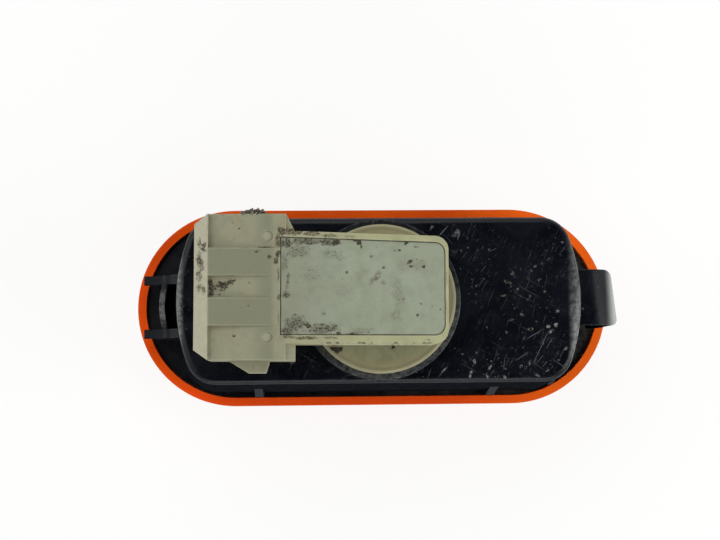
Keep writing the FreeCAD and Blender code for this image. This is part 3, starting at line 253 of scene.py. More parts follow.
class Finish:
    """One finish: a surface shader and the places, edges and hollows that its patterns follow."""

    def __init__(self, name):
        self.material = bpy.data.materials.new(name)
        self.material.use_nodes = True
        self.tree = self.material.node_tree
        self.tree.nodes.clear()
        self.surface = put(self.tree, "ShaderNodeBsdfPrincipled")
        target = put(self.tree, "ShaderNodeOutputMaterial")
        self.tree.links.new(self.surface.outputs[0], target.inputs["Surface"])
        coordinates = put(self.tree, "ShaderNodeTexCoord").outputs["Object"]
        in_mm = {"Vector": coordinates, "Scale": (1.0 / MM, 1.0 / MM, 1.0 / MM)}
        self.place = put(self.tree, "ShaderNodeMapping", in_mm).outputs[0]
        self.colour = None

    def set(self, **sockets):
        for name, value in sockets.items():
            socket = self.surface.inputs[name.replace("_", " ")]
            if isinstance(value, bpy.types.NodeSocket):
                self.tree.links.new(value, socket)
            else:
                socket.default_value = value

    def paint(self, share, colour, strength=1.0):
        """Lays a colour over the finish's colour so far."""
        self.colour = tint(self.tree, times(self.tree, share, strength), self.colour, colour)

    def zone(self, rows):
        """The share inside a zone. Each row names an axis and the two places in mm between which the share
        rises from 0 to 1, or between the two shares that follow them."""
        axes = dict(zip("xyz", parts(self.tree, self.place)))
        return times(self.tree, *[span(self.tree, axes[axis], *limits) for axis, *limits in rows])

    def facing_back(self, low=0.55, high=0.9):
        normal = put(self.tree, "ShaderNodeNewGeometry").outputs["True Normal"]
        return span(self.tree, parts(self.tree, normal)[2], low, high)

    def closed_in(self, reach, low, high, **settings):
        found = put(self.tree, "ShaderNodeAmbientOcclusion", {"Distance": reach * MM}, samples=4, **settings)
        return span(self.tree, calc(self.tree, "SUBTRACT", 1.0, found.outputs["AO"]), low, high)

    def outer_edge(self, reach, low=0.12, high=0.5):
        return self.closed_in(reach, low, high, inside=True, only_local=True)

    def hollow(self, reach, low=0.35, high=0.85):
        return self.closed_in(reach, low, high)

    def marks(self, rows, ragged, height):
        """The strongest of many placed marks: x, y, half length, half width, turn in degrees, strength."""
        shares = []
        for x, y, half_length, half_width, turn, strength in rows:
            half_size = (half_length, half_width, MARK_HALF_HEIGHT)
            shares.append(use(self.tree, SOIL_PATCH, Place=self.place, Ragged=ragged, Middle=(x, y, height),
                              Half_Size=half_size, Turn=math.radians(turn), Strength=strength))
        return over(self.tree, *shares)

    def relief(self, height, depth, edge=0.12):
        """Soft moulded edges under a fine relief; edge and depth in mm."""
        soft = put(self.tree, "ShaderNodeBevel", {"Radius": edge * MM}, samples=4).outputs[0]
        bump = put(self.tree, "ShaderNodeBump", {"Height": height, "Distance": depth * MM, "Normal": soft})
        bump.inputs["Strength"].default_value = 1.0
        self.set(Normal=bump.outputs[0])


# Marks on the holder's back face, measured on the photograph: x, y, half length, half width, turn in
# degrees, strength

HOLDER_SOIL = [
    (-29.42, 8.3, 0.55, 1.3, 0, 0.8), (-28.75, 7.6, 0.4, 1.0, 0, 0.9),
    (-29.4, 5.6, 0.75, 1.7, 4, 0.95), (-29.6, 3.2, 0.7, 1.3, 0, 0.95),
    (-29.5, 1.4, 0.75, 0.9, 0, 0.85), (-28.7, 1.0, 0.4, 0.9, 0, 0.8), (-28.55, 8.15, 0.4, 0.4, 0, 1.1),
    (-28.75, 4.4, 0.4, 0.5, 0, 0.7), (-27.62, 2.2, 0.5, 0.75, 0, 1.1),
    (-27.45, 0.55, 0.55, 0.6, 0, 1.1), (-27.1, 1.5, 0.7, 1.0, 0, 0.8),
    (-25.75, 1.75, 1.35, 0.75, 8, 1.15), (-24.5, 2.15, 0.7, 0.55, 20, 0.9),
    (-23.75, 2.55, 0.3, 0.28, 0, 1.0), (-25.9, 0.95, 0.9, 0.45, 0, 0.7),
    (-23.09, 10.71, 0.3, 0.24, 0, 1.0), (-23.95, -6.29, 0.34, 0.28, 0, 1.05),
    (-21.63, -1.6, 0.22, 0.2, 0, 0.9), (-20.2, 6.99, 0.6, 0.22, 20, 0.85),
    (-21.42, 2.1, 0.3, 0.28, 0, 0.75), (-18.3, 6.1, 0.5, 0.4, 0, 0.85),
    (-17.3, 5.5, 0.5, 0.75, 0, 1.0), (-16.95, 6.6, 0.45, 0.8, -20, 1.1),
    (-16.9, 8.7, 0.6, 1.5, 0, 0.85), (-18.8, 7.64, 1.9, 0.18, -1, 0.95),
    (-26.32, 0.22, 0.6, 0.2, 10, 0.5), (-27.86, -9.28, 0.5, 0.4, 0, 0.4),
    (-16.2, 10.2, 1.2, 0.9, -20, 1.0), (-14.2, 10.1, 1.7, 0.65, -2, 0.95),
    (-11.6, 9.75, 1.9, 0.5, -2, 0.85), (-8.6, 9.4, 1.9, 0.4, -2, 0.75),
    (-5.6, 9.3, 1.2, 0.28, -2, 0.55), (-12.85, -6.75, 2.6, 0.34, -1, 0.9),
    (-15.7, -6.5, 1.1, 0.5, 0, 0.75), (6.75, -7.21, 0.4, 0.16, 0, 0.6),
    (-16.83, -0.32, 0.34, 0.8, 0, 0.8), (-16.91, 3.28, 0.26, 1.2, 0, 0.75),
    (-16.9, -3.6, 0.2, 1.6, 0, 0.6), (-9.0, -6.75, 1.6, 0.26, -1, 0.65),
    (9.75, 2.6, 0.16, 1.5, 0, 0.55), (9.7, -2.5, 0.14, 1.8, 0, 0.5),
]
COVER_SOIL = [
    (-15.5, 8.3, 1.2, 1.0, -20, 0.95), (-12.4, 8.55, 3.1, 0.7, -3, 0.9),
    (-9.2, 8.35, 1.9, 0.65, -4, 0.95), (-7.69, 8.35, 0.85, 0.6, 20, 1.5),
    (-4.69, 8.69, 0.55, 0.3, 0, 1.2), (-4.15, 8.3, 0.55, 0.5, -50, 1.3),
    (-3.75, 7.63, 0.24, 0.4, 0, 1.0), (-1.4, 7.62, 0.16, 0.4, 0, 0.5),
    (3.41, 8.26, 0.45, 0.38, 30, 1.4), (4.9, 7.55, 0.45, 0.24, 0, 0.75),
    (2.3, 7.01, 0.26, 0.22, 0, 1.1), (1.6, 7.01, 0.26, 0.18, 0, 0.85), (-2.2, 6.13, 0.4, 0.3, 0, 0.75),
    (-0.26, 4.27, 0.38, 0.24, 0, 1.0), (-6.11, 3.59, 0.28, 0.28, 0, 1.0),
    (-6.82, 2.54, 0.2, 0.22, 0, 0.8), (3.89, 5.2, 0.6, 0.34, 45, 1.15),
    (4.19, 4.5, 0.5, 0.28, 0, 1.05), (6.09, 4.4, 0.4, 0.3, 0, 1.15), (5, 5.6, 0.24, 0.2, 0, 0.8),
    (5.67, -1.5, 0.28, 0.24, 0, 0.75), (5.06, -3.3, 0.3, 0.28, 0, 1.05),
    (7.37, -1.91, 0.22, 0.22, 0, 0.65), (8.67, -2.41, 0.18, 0.22, 0, 0.85),
    (-15.42, 2.38, 0.34, 1.6, -8, 0.75), (-15.7, 0.1, 0.7, 0.7, 30, 1.0),
    (-14.24, -4.53, 2.4, 1.6, 10, 0.8), (-12.24, -4.89, 0.55, 0.5, 0, 1.15),
    (-9.84, -5.3, 3.4, 1.1, 3, 0.82), (-7.45, -6.1, 0.5, 0.3, 0, 1.2),
    (-5.25, -6.16, 0.9, 0.24, 0, 1.05), (-9.74, -2.94, 0.45, 0.34, 0, 0.6),
    (-15.55, -5.6, 1.4, 0.8, 0, 0.9), (-13.7, 6.9, 2.4, 1.2, 10, 0.55),
    (-8.2, 6.35, 2.6, 1.0, -20, 0.45), (-15.9, 5.2, 0.6, 2.0, 0, 0.6), (-3.6, -5.7, 2.4, 0.6, 3, 0.45),
    (-11.6, 3.4, 2.6, 1.6, 20, 0.34), (-6.5, 0.4, 2.4, 1.5, -30, 0.3),
]
COVER_RUST = [
    (-1.31, 2.92, 1.1, 0.6, 48, 1.0), (-0.32, 1.97, 0.45, 0.45, 0, 0.9),
    (-2.12, 2.23, 0.4, 0.7, -20, 0.9), (1.98, 0.21, 1.1, 2.8, 8, 0.6), (1.76, -3.19, 1.1, 1.3, 0, 0.5),
    (5.39, 4.7, 1.5, 0.9, 0, 0.45), (-3.6, 3.4, 1.6, 0.8, 20, 0.35), (2.9, 4.4, 1.4, 1.2, 0, 0.35),
]


# Dirt on the holder and its cover

SOIL = {"stain": (0.1, 0.08, 0.055), "rust": (0.09, 0.054, 0.032), "dot": (0.06, 0.052, 0.038),
        "crumb": (0.024, 0.0165, 0.0105)}


def soiled_plastic(name, colours, placed, film):
    """Mottled moulded plastic with the layers that soil_over lays soil on: placed marks and a film."""
    f = Finish(name)
    t = f.tree
    f.fine = cloud(t, f.place, 0.35, 5.0, 0.65)
    f.grain = cloud(t, f.place, 0.32, 5.0, 0.75)
    f.ragged = calc(t, "MULTIPLY_ADD", cloud(t, f.place, 0.7, 5.0, 0.7), 2.0, -1.0)
    f.back = f.facing_back(0.3, 0.6)
    broad = cloud(t, f.place, 7.0, 5.0, 0.6, 0.5)
    streak = cloud(t, stretched(t, f.place, (0.35, 1.0, 1.0)), 2.6, 4.0, 0.6)
    f.colour = tint(t, span(t, broad, 0.3, 0.72), colours["clean"], colours["warm"])
    f.paint(span(t, streak, 0.45, 0.8), colours["pale"], 0.3)
    f.soil = times(t, f.marks(placed, f.ragged, BACK_OF_HOLDER), f.back)
    f.film = film
    f.shade = tuple(0.6 * c for c in colours["clean"])
    f.smudge = tuple(0.5 * c for c in colours["warm"])
    return f


def soil_over(f, rust=None):
    """Lays film, stains, specks and crumbs over a plastic's colour and sets its surface."""
    t = f.tree
    f.paint(span(t, f.fine, 0.35, 0.75), f.shade, 0.16)
    smear = span(t, cloud(t, f.place, 2.6, 6.0, 0.65), 0.42, 0.72)
    blots = span(t, cloud(t, f.place, 0.95, 5.0, 0.7), 0.5, 0.78)
    f.paint(over(t, smear, blots), f.smudge, f.film)
    hollow = times(t, f.hollow(0.6), span(t, cloud(t, f.place, 1.6, 4.0), 0.35, 0.65))
    soil = over(t, f.soil, times(t, hollow, 0.5))
    stain = times(t, span(t, soil, 0.05, 1.1), 0.5)
    f.paint(stain, SOIL["stain"])
    if rust:
        rusty = times(t, f.marks(rust, f.ragged, BACK_OF_HOLDER), f.back, span(t, f.grain, 0.36, 0.62))
        f.paint(rusty, SOIL["rust"], 0.85)
    dots = use(t, SPECKS, Place=f.place, Pitch=1.5, Part_Filled=0.22, Largest=0.16)
    pin_dots = use(t, SPECKS, Place=f.place, Pitch=0.55, Part_Filled=0.12, Largest=0.22)
    f.paint(over(t, times(t, dots, 0.6), times(t, pin_dots, 0.34)), SOIL["dot"])
    crumbs = span(t, calc(t, "MULTIPLY_ADD", soil, 0.19, f.grain), 0.6, 0.75)
    crumbs = times(t, crumbs, span(t, soil, 0.05, 0.4))
    f.paint(crumbs, SOIL["crumb"], 0.86)
    dirty = over(t, crumbs, stain)
    rough = fade(t, dirty, span(t, f.fine, 0.3, 0.7, 0.42, 0.56), 0.85)
    height = calc(t, "ADD", times(t, f.fine, 0.16), times(t, crumbs, 0.6))
    f.relief(height, 0.05, 0.16)
    f.set(Base_Color=f.colour, Roughness=rough, IOR=1.5, Specular_IOR_Level=fade(t, dirty, 0.5, 0.08))
    return f.material


# Colours of the bulb holder, its zones, and places measured from the bayonet's axis or the arm's edge, in mm

BEIGE = {
    "clean": (0.352, 0.358, 0.205), "warm": (0.325, 0.325, 0.178), "pale": (0.47, 0.455, 0.29),
    "border": (0.27, 0.258, 0.168), "socket": (0.236, 0.248, 0.168), "socket_brown": (0.26, 0.238, 0.15),
    "socket_blot": (0.19, 0.176, 0.118), "rail": (0.164, 0.171, 0.114), "dent_highlight": (0.42, 0.41, 0.29),
    "mouth": (0.42, 0.402, 0.29), "flange": (0.222, 0.23, 0.136), "flange_dirt": (0.15, 0.149, 0.083),
    "flange_far": (0.29, 0.272, 0.142), "flange_border": (0.262, 0.225, 0.115),
    "ring": (0.15, 0.135, 0.075), "edge_gap": (0.035, 0.03, 0.022),
}
HOLDER = {
    "border": [("x", -4.0, -9.0)],
    "socket": [("x", -14.6, -16.6)],
    "step_near": [("x", -13.6, -14.0), ("y", -7.7, -7.9)],
    "step_far": [("x", -13.6, -14.0), ("y", 10.3, 10.5)],
    "rails": [("x", -17.2, -18.4), ("x", -28.2, -27.8), ("z", 33.2, 33.5)],
    "mouth": [("x", -27.9, -28.3), ("z", 27.0, 29.0)],
    "flange": [("z", 26.5, 24.8)],
    "flange_far": [("y", 4.0, 9.0)],
    "lower_edge": [("x", -10.6, -9.8), ("x", 7.6, 6.8), ("z", 32.6, 33.0)],
}
FLANGE_BORDER = (9.6, 11.2)
RING_INSIDE = (11.2, 11.5)
RING_OUTSIDE = (12.25, 12.0)
BELOW_EDGE = (-7.46, -7.56)
EJECTOR_DENTS = [(-18.7, 9.46, 0.95, 0.95, 0, 1.0), (-18.8, -6.52, 0.95, 0.95, 0, 1.0)]


def make_beige_plastic():
    """The bulb holder: duller on the plug socket, pale at its mouth and edges, where cleaner plastic and
    wear go with a painted highlight, and dirty on the flange.
    """
    f = soiled_plastic("beige_moulded_plastic", BEIGE, HOLDER_SOIL, 0.22)
    t = f.tree

    # The plug socket with its step and rails, pale painted highlights on its ejector dents, and its mouth
    # painted paler, partly as cleaner plastic and partly as a painted highlight
    blotch = span(t, cloud(t, f.place, 3.4, 4.0, 0.6, 0.4), 0.32, 0.7)
    dull = tint(t, blotch, BEIGE["socket"], BEIGE["socket_brown"])
    blots = span(t, cloud(t, f.place, 1.3, 5.0, 0.7), 0.42, 0.72)
    dull = tint(t, times(t, blots, 0.45), dull, BEIGE["socket_blot"])
    f.paint(f.zone(HOLDER["border"]), BEIGE["border"], 0.5)
    f.paint(over(t, *[f.zone(HOLDER[name]) for name in ("socket", "step_near", "step_far")]), dull, 0.92)
    f.paint(f.zone(HOLDER["rails"]), BEIGE["rail"], 0.8)
    # Painted highlight: pale spots on the ejector dents
    f.paint(f.marks(EJECTOR_DENTS, 0.0, BACK_OF_HOLDER), BEIGE["dent_highlight"], 0.3)
    # Painted highlight: the mouth's bevel is painted paler, partly cleaner plastic and partly the light
    # falling on it from the left
    f.paint(f.zone(HOLDER["mouth"]), BEIGE["mouth"], 0.85)

    # The flange, with a dark ring round its border
    flange = f.zone(HOLDER["flange"])
    dirt = span(t, cloud(t, f.place, 2.8, 5.0, 0.65, 0.6), 0.3, 0.7)
    dull = tint(t, dirt, BEIGE["flange"], BEIGE["flange_dirt"])
    dull = tint(t, times(t, f.zone(HOLDER["flange_far"]), 0.7), dull, BEIGE["flange_far"])
    from_axis = move(t, "LENGTH", stretched(t, f.place, (1.0, 1.0, 0.0)))
    near_border = span(t, from_axis, *FLANGE_BORDER)
    dull = tint(t, times(t, near_border, 0.55), dull, BEIGE["flange_border"])
    f.paint(flange, dull, 0.9)
    ring = times(t, span(t, from_axis, *RING_INSIDE), span(t, from_axis, *RING_OUTSIDE), flange)
    f.paint(ring, BEIGE["ring"], 0.45)

    # Pale worn edges that also stand in for a painted edge highlight, and dark gaps along the arm's lower
    # edge
    edge = times(t, f.outer_edge(0.3), span(t, cloud(t, f.place, 1.1, 3.0), 0.28, 0.6, 0.3, 1.0))
    f.paint(edge, BEIGE["pale"], span(t, flange, 0.0, 1.0, 0.6, 0.3))
    x, y = parts(t, f.place)[:2]
    below_edge = span(t, calc(t, "MULTIPLY_ADD", x, -math.sin(HOLDER_TURN), y), *BELOW_EDGE)
    gaps = span(t, cloud(t, stretched(t, f.place, (1.0, 0.15, 0.15)), 0.8, 3.0), 0.55, 0.6)
    f.paint(times(t, f.zone(HOLDER["lower_edge"]), below_edge, gaps), BEIGE["edge_gap"], 0.8)
    return soil_over(f)


GREY = {"clean": (0.272, 0.312, 0.23), "warm": (0.238, 0.262, 0.184), "pale": (0.32, 0.346, 0.258),
        "browner": (0.192, 0.192, 0.134), "seam": (0.06, 0.052, 0.04)}
COVER = {"towards_socket": [("x", -5.0, -15.0)]}


def make_grey_plastic():
    """The cover plate: cool grey, browner towards the socket, with soil caught along its seam."""
    f = soiled_plastic("cool_grey_cover_plastic", GREY, COVER_SOIL, 0.26)
    t = f.tree
    f.paint(f.zone(COVER["towards_socket"]), GREY["browner"], 0.5)
    caught = span(t, cloud(t, f.place, 1.3, 4.0), 0.3, 0.6, 0.45, 1.0)
    f.paint(times(t, f.outer_edge(0.22, 0.1, 0.45), caught), GREY["seam"], 0.85)
    return soil_over(f, COVER_RUST)


# Marks on the housing's bare places, in the same order of values: scratches, flecks, dust and scuffs

HOUSING_SCRATCHES = [
    (10.81, 11.58, 1.4, 0.09, 48, 0.75), (25.95, -5.97, 1.7, 0.06, 30, 0.8),
    (27.04, -8.08, 3.7, 0.055, 63, 0.7), (13.41, 10.67, 0.8, 0.12, 70, 0.5),
    (19.2, 8.35, 0.9, 0.07, 25, 0.35), (23.73, -9.67, 1.5, 0.07, 35, 0.55),
    (10.33, -12.12, 1.6, 0.08, 52, 0.5), (8.13, -12.31, 1.0, 0.07, 70, 0.45),
    (20.73, -10.85, 1.3, 0.06, 82, 0.45), (30.13, -10.99, 1.4, 0.08, -35, 0.45),
    (-4.77, -12.46, 2.0, 0.08, 10, 0.3), (32.78, 2.9, 1.5, 0.07, 80, 0.3),
]
HOUSING_FLECKS = [
    (28.35, -4.68, 0.42, 0.3, 20, 1.0), (29.65, -4.39, 0.42, 0.36, 60, 1.0),
    (28.85, -5.49, 0.55, 0.3, 30, 0.9), (29.96, -2.09, 0.36, 0.34, 0, 0.75),
    (15.02, -12.63, 0.22, 0.75, -20, 0.85), (17.82, -12.84, 0.2, 0.55, 15, 0.85),
    (20.72, -13.05, 0.2, 0.5, 30, 0.75), (15.73, -10.44, 0.24, 0.5, 10, 0.7),
    (10.73, -11.72, 0.7, 0.18, 40, 0.75), (18.33, -11.45, 0.2, 0.5, -35, 0.7),
    (23.53, -11.37, 0.4, 0.22, 40, 0.7), (25.03, -10.77, 0.26, 0.5, -20, 0.7),
    (26.32, -12.88, 0.5, 0.2, -25, 0.65), (28.02, -12.08, 0.5, 0.18, 30, 0.6),
    (8.92, 12.29, 0.3, 0.26, 0, 0.6), (13.01, 11.17, 0.8, 0.5, 40, 0.42),
    (31.24, -8.39, 0.4, 0.25, 40, 0.5), (13.74, -9.23, 0.3, 0.18, 0, 0.5),
    (31, 9.51, 0.3, 0.2, 0, 0.5), (26.29, 5.52, 0.35, 0.2, 30, 0.45),
    (-14.77, -10.32, 0.5, 0.25, 10, 0.4),
]
HOUSING_DUST = [
    (21.73, -11.06, 12.0, 4.0, 0, 1.0), (27.24, -8.08, 5.0, 5.0, 0, 0.8),
    (4.72, -13, 9.0, 1.8, 0, 0.85), (-9.27, -10.94, 7.0, 2.6, 0, 0.8), (13.8, 8.97, 7.0, 5.0, 0, 0.6),
    (29.79, 5.91, 4.0, 7.0, 0, 0.5), (-33.73, 0.15, 2.0, 12.0, 0, 0.8), (24.5, 1.5, 5.5, 7.0, 0, 0.75),
    (17.0, 2.0, 2.5, 9.0, 0, 0.6),
]
HOUSING_SCUFFS = [
    (22.4, 4.4, 0.5, 0.3, 35, 0.8), (21.6, 2.9, 0.7, 0.35, -20, 0.95), (23.2, 1.6, 0.4, 0.25, 60, 0.7),
    (20.9, 0.6, 0.5, 0.22, 10, 0.75), (25.6, 4.9, 0.45, 0.25, -50, 0.6),
    (26.9, 3.2, 0.5, 0.22, 25, 0.6), (27.8, 1.2, 0.45, 0.25, -30, 0.65),
    (25.1, 0.2, 0.6, 0.2, 50, 0.5), (23.9, -2.6, 0.5, 0.3, -40, 0.7), (22.2, -3.4, 0.6, 0.24, 30, 0.7),
    (25.3, -5.1, 0.55, 0.3, 0, 0.75), (24.2, -6.6, 0.45, 0.25, 70, 0.6),
    (21.2, -5.6, 0.4, 0.22, -60, 0.5), (28.6, 6.6, 0.4, 0.2, 15, 0.45), (16.6, 8.2, 0.4, 0.2, 60, 0.4),
    (17.6, 3.4, 0.35, 0.18, -25, 0.4), (17.1, -1.3, 0.4, 0.18, 40, 0.4),
    (17.9, -4.7, 0.35, 0.18, -70, 0.4),
]


# Each kind of stray scratch: turn in radians, length, spacing, width, part filled, strength

STRAY_SCRATCHES = [(0.6, 9.0, 1.5, 0.05, 0.45, 0.5), (-1.05, 3.0, 0.9, 0.06, 0.34, 0.7),
                   (1.9, 5.0, 0.7, 0.035, 0.4, 0.45)]

# Colours of the housing, and its zones in mm

BLACK = {
    "deep": (0.0008, 0.0014, 0.0034), "faded": (0.0024, 0.0036, 0.0072), "wall": (0.009, 0.01, 0.0122),
    "film": (0.105, 0.115, 0.125), "scratch": (0.15, 0.158, 0.162), "speck": (0.18, 0.186, 0.184),
    "scuff": (0.17, 0.165, 0.13), "fleck": (0.27, 0.275, 0.26), "worn_and_highlit": (0.13, 0.136, 0.14),
    "gusset": (0.04, 0.044, 0.047), "rubbed_and_highlit": (0.16, 0.166, 0.162), "guard": (0.2, 0.2, 0.19),
    "bend": (0.35, 0.365, 0.34), "ledge": (0.046, 0.042, 0.036), "lodged": (0.045, 0.042, 0.036),
}
HOUSING = {
    "past_hooks": [("x", -36.6, -35.8)],
    "worn_and_highlit": [("x", -36.6, -35.8), ("y", -10.0, -14.0, 0.5, 0.9)],
    "gusset_slope": [("z", 14.9, 14.4), ("z", 1.2, 1.6)],
    "left_end": [("x", -32.7, -33.7), ("x", -36.6, -35.8), ("z", 17.2, 18.6)],
    "right_end": [("x", 31.6, 33.0), ("x", 35.0, 34.6), ("y", 6.0, -5.0, 0.5, 1.0), ("z", 17.2, 18.6)],
    "collar": [("y", 6.0, -4.0, 0.12, 0.5), ("z", 21.2, 21.45)],
    "guard": [("x", -36.8, -37.2), ("z", 5.0, 5.3)],
    "bend": [("x", 38.8, 41.0), ("z", 9.0, 12.0)],
    "ledge": [("x", -20.0, 34.0, 0.12, 0.9), ("z", 2.4, 1.2)],
}
GUSSETS = [[("x", 19.7, 19.95), ("x", 21.7, 21.45)], [("x", -19.7, -19.95), ("x", -21.7, -21.45)],
           [("x", 30.9, 31.15), ("x", 32.3, 32.05), ("y", -8.0, -9.0)]]
GUARD_MIDDLE = (4.0, 1.2)


def stray_scratches(f):
    kinds = []
    for turn, length, spacing, width, filled, strength in STRAY_SCRATCHES:
        lines = use(f.tree, SCRATCHES, Place=f.place, Turn=turn, Length=length, Spacing=spacing,
                    Width=width, Part_Filled=filled)
        kinds.append(times(f.tree, lines, strength))
    return over(f.tree, *kinds)


def make_black_plastic():
    """The housing: satin black, scratched and dusty; rubbed grey with painted highlights at its ends and
    collar, painted highlights on its ribs, guard wall and tongue, and side walls partly painted in place of
    their reflection.
    """
    f = Finish("satin_black_plastic")
    t = f.tree
    fine = cloud(t, f.place, 0.3, 4.0, 0.6)
    broad = cloud(t, f.place, 7.0, 4.0, 0.6, 0.8)
    ragged = calc(t, "MULTIPLY_ADD", cloud(t, f.place, 0.9, 4.0, 0.7), 1.6, -0.8)
    patchy = span(t, cloud(t, f.place, 0.9, 5.0, 0.7), 0.34, 0.66)
    back = f.facing_back()
    upward = f.facing_back(0.05, 0.4)

    # Black plastic under a film of dust; its side walls are painted a lighter dusty grey, partly dust and
    # partly a painted reflection
    f.colour = tint(t, span(t, broad, 0.3, 0.75), BLACK["deep"], BLACK["faded"])
    streaks = span(t, cloud(t, stretched(t, f.place, (1.0, 1.0, 0.2)), 1.6, 5.0, 0.65), 0.3, 0.75)
    f.paint(span(t, upward, 1.0, 0.0), BLACK["wall"], span(t, streaks, 0.0, 1.0, 0.6, 1.0))
    dusty = times(t, f.marks(HOUSING_DUST, ragged, BACK_OF_HOUSING), back)
    all_over = calc(t, "MULTIPLY_ADD", dusty, 0.9, 0.1, clamp=True)
    film = times(t, span(t, cloud(t, f.place, 0.8, 8.0, 0.78), 0.52, 0.72), all_over)
    f.paint(film, BLACK["film"], 0.27)

    # Scratches, specks, scuffs and flecks on the back
    stray = times(t, stray_scratches(f), calc(t, "MULTIPLY_ADD", dusty, 0.75, 0.2, clamp=True))
    placed = f.marks(HOUSING_SCRATCHES, times(t, ragged, 0.3), BACK_OF_HOUSING)
    lines = times(t, over(t, stray, placed), back)
    f.paint(lines, BLACK["scratch"], 0.7)
    specks = use(t, SPECKS, Place=f.place, Pitch=1.25, Part_Filled=0.3, Largest=0.17)
    dust_specks = use(t, SPECKS, Place=f.place, Pitch=0.6, Part_Filled=0.28, Largest=0.24)
    specks = times(t, over(t, times(t, specks, 0.5), times(t, dust_specks, all_over)), upward)
    f.paint(specks, BLACK["speck"], 0.5)
    broken = span(t, cloud(t, f.place, 0.32, 3.0), 0.44, 0.6)
    scuffs = times(t, f.marks(HOUSING_SCUFFS, ragged, BACK_OF_HOUSING), back, broken)
    f.paint(scuffs, BLACK["scuff"], 0.9)
    broken = span(t, cloud(t, f.place, 0.4, 3.0), 0.36, 0.56)
    flecks = times(t, f.marks(HOUSING_FLECKS, ragged, BACK_OF_HOUSING), back, broken)
    f.paint(flecks, BLACK["fleck"], 0.85)

    # Worn edges, painted paler towards the near edge, partly wear and partly a painted highlight, and a
    # painted highlight on the sloping ribs at the sides
    worn_and_highlit = times(t, f.outer_edge(0.3, 0.12, 0.6), patchy, upward, f.zone(HOUSING["worn_and_highlit"]))
    f.paint(worn_and_highlit, BLACK["worn_and_highlit"])
    # Painted highlight: the ribs' sloping faces are painted lighter than the black around them
    gusset_highlights = over(t, *[f.zone(gusset) for gusset in GUSSETS])
    gusset_highlights = times(t, gusset_highlights, f.facing_back(0.09, 0.14), f.zone(HOUSING["gusset_slope"]))
    f.paint(gusset_highlights, BLACK["gusset"], 0.9)

    # Rubbed ends and collar with painted highlights, and painted highlights on the guard wall's top and the
    # tongue's bend
    left_end = times(t, f.zone(HOUSING["left_end"]), 0.92)
    collar = times(t, f.zone(HOUSING["collar"]), back)
    # Rubbing and painted highlight in one: the ends and the collar are painted grey, more on the near side
    rubbed_and_highlit = times(t, over(t, left_end, f.zone(HOUSING["right_end"]), collar), upward)
    f.paint(rubbed_and_highlit, BLACK["rubbed_and_highlit"], span(t, patchy, 0.0, 1.0, 0.3, 1.0))
    # Painted highlight: a pale line along the middle of the guard wall's top
    from_middle = calc(t, "ABSOLUTE", parts(t, f.place)[1])
    guard = times(t, f.zone(HOUSING["guard"]), back, span(t, from_middle, *GUARD_MIDDLE, 0.15, 0.95))
    f.paint(guard, BLACK["guard"], span(t, patchy, 0.0, 1.0, 0.25, 0.9))
    # Painted highlight: the tongue's bend is painted pale grey in place of its reflection of the bright
    # surroundings
    f.paint(f.zone(HOUSING["bend"]), BLACK["bend"], upward)

    # Dust on the ledge round the walls and in corners
    settled = span(t, cloud(t, f.place, 1.8, 5.0, 0.65), 0.35, 0.65, 0.15, 1.0)
    f.paint(times(t, f.zone(HOUSING["ledge"]), back), BLACK["ledge"], settled)
    lodged = times(t, f.hollow(1.6, 0.45, 0.9), span(t, cloud(t, f.place, 1.4, 5.0), 0.45, 0.7))
    f.paint(lodged, BLACK["lodged"], 0.12)

    past_hooks = f.zone(HOUSING["past_hooks"])
    rough = span(t, broad, 0.25, 0.75, 0.24, 0.34)
    rough = fade(t, over(t, film, specks, lines), rough, 0.7)
    rough = fade(t, past_hooks, 0.5, rough)
    raised = calc(t, "SUBTRACT", times(t, over(t, flecks, specks), 0.5), times(t, lines, 0.8))
    f.relief(calc(t, "ADD", times(t, fine, 0.12), raised), 0.03, 0.3)
    shine = fade(t, past_hooks, 0.14, span(t, f.facing_back(0.2, 0.7), 0.0, 1.0, 0.0, 0.24))
    f.set(Base_Color=f.colour, Roughness=rough, IOR=1.49, Specular_IOR_Level=shine)
    return f.material


AMBER = {"deep": (0.74, 0.082, 0.003), "clear": (0.84, 0.104, 0.005), "left": (0.85, 0.074, 0.002),
         "near": (0.87, 0.066, 0.006), "right": (1.0, 0.145, 0.009), "edge": (0.9, 0.2, 0.02),
         "dust": (0.3, 0.2, 0.12)}
LENS = {"left": [("x", -22.0, -36.0)], "near": [("y", -13.0, -16.0)], "right": [("x", 12.0, 36.0)],
        "see_through": [("z", -3.0, -0.6, 0.36, 0.05)]}


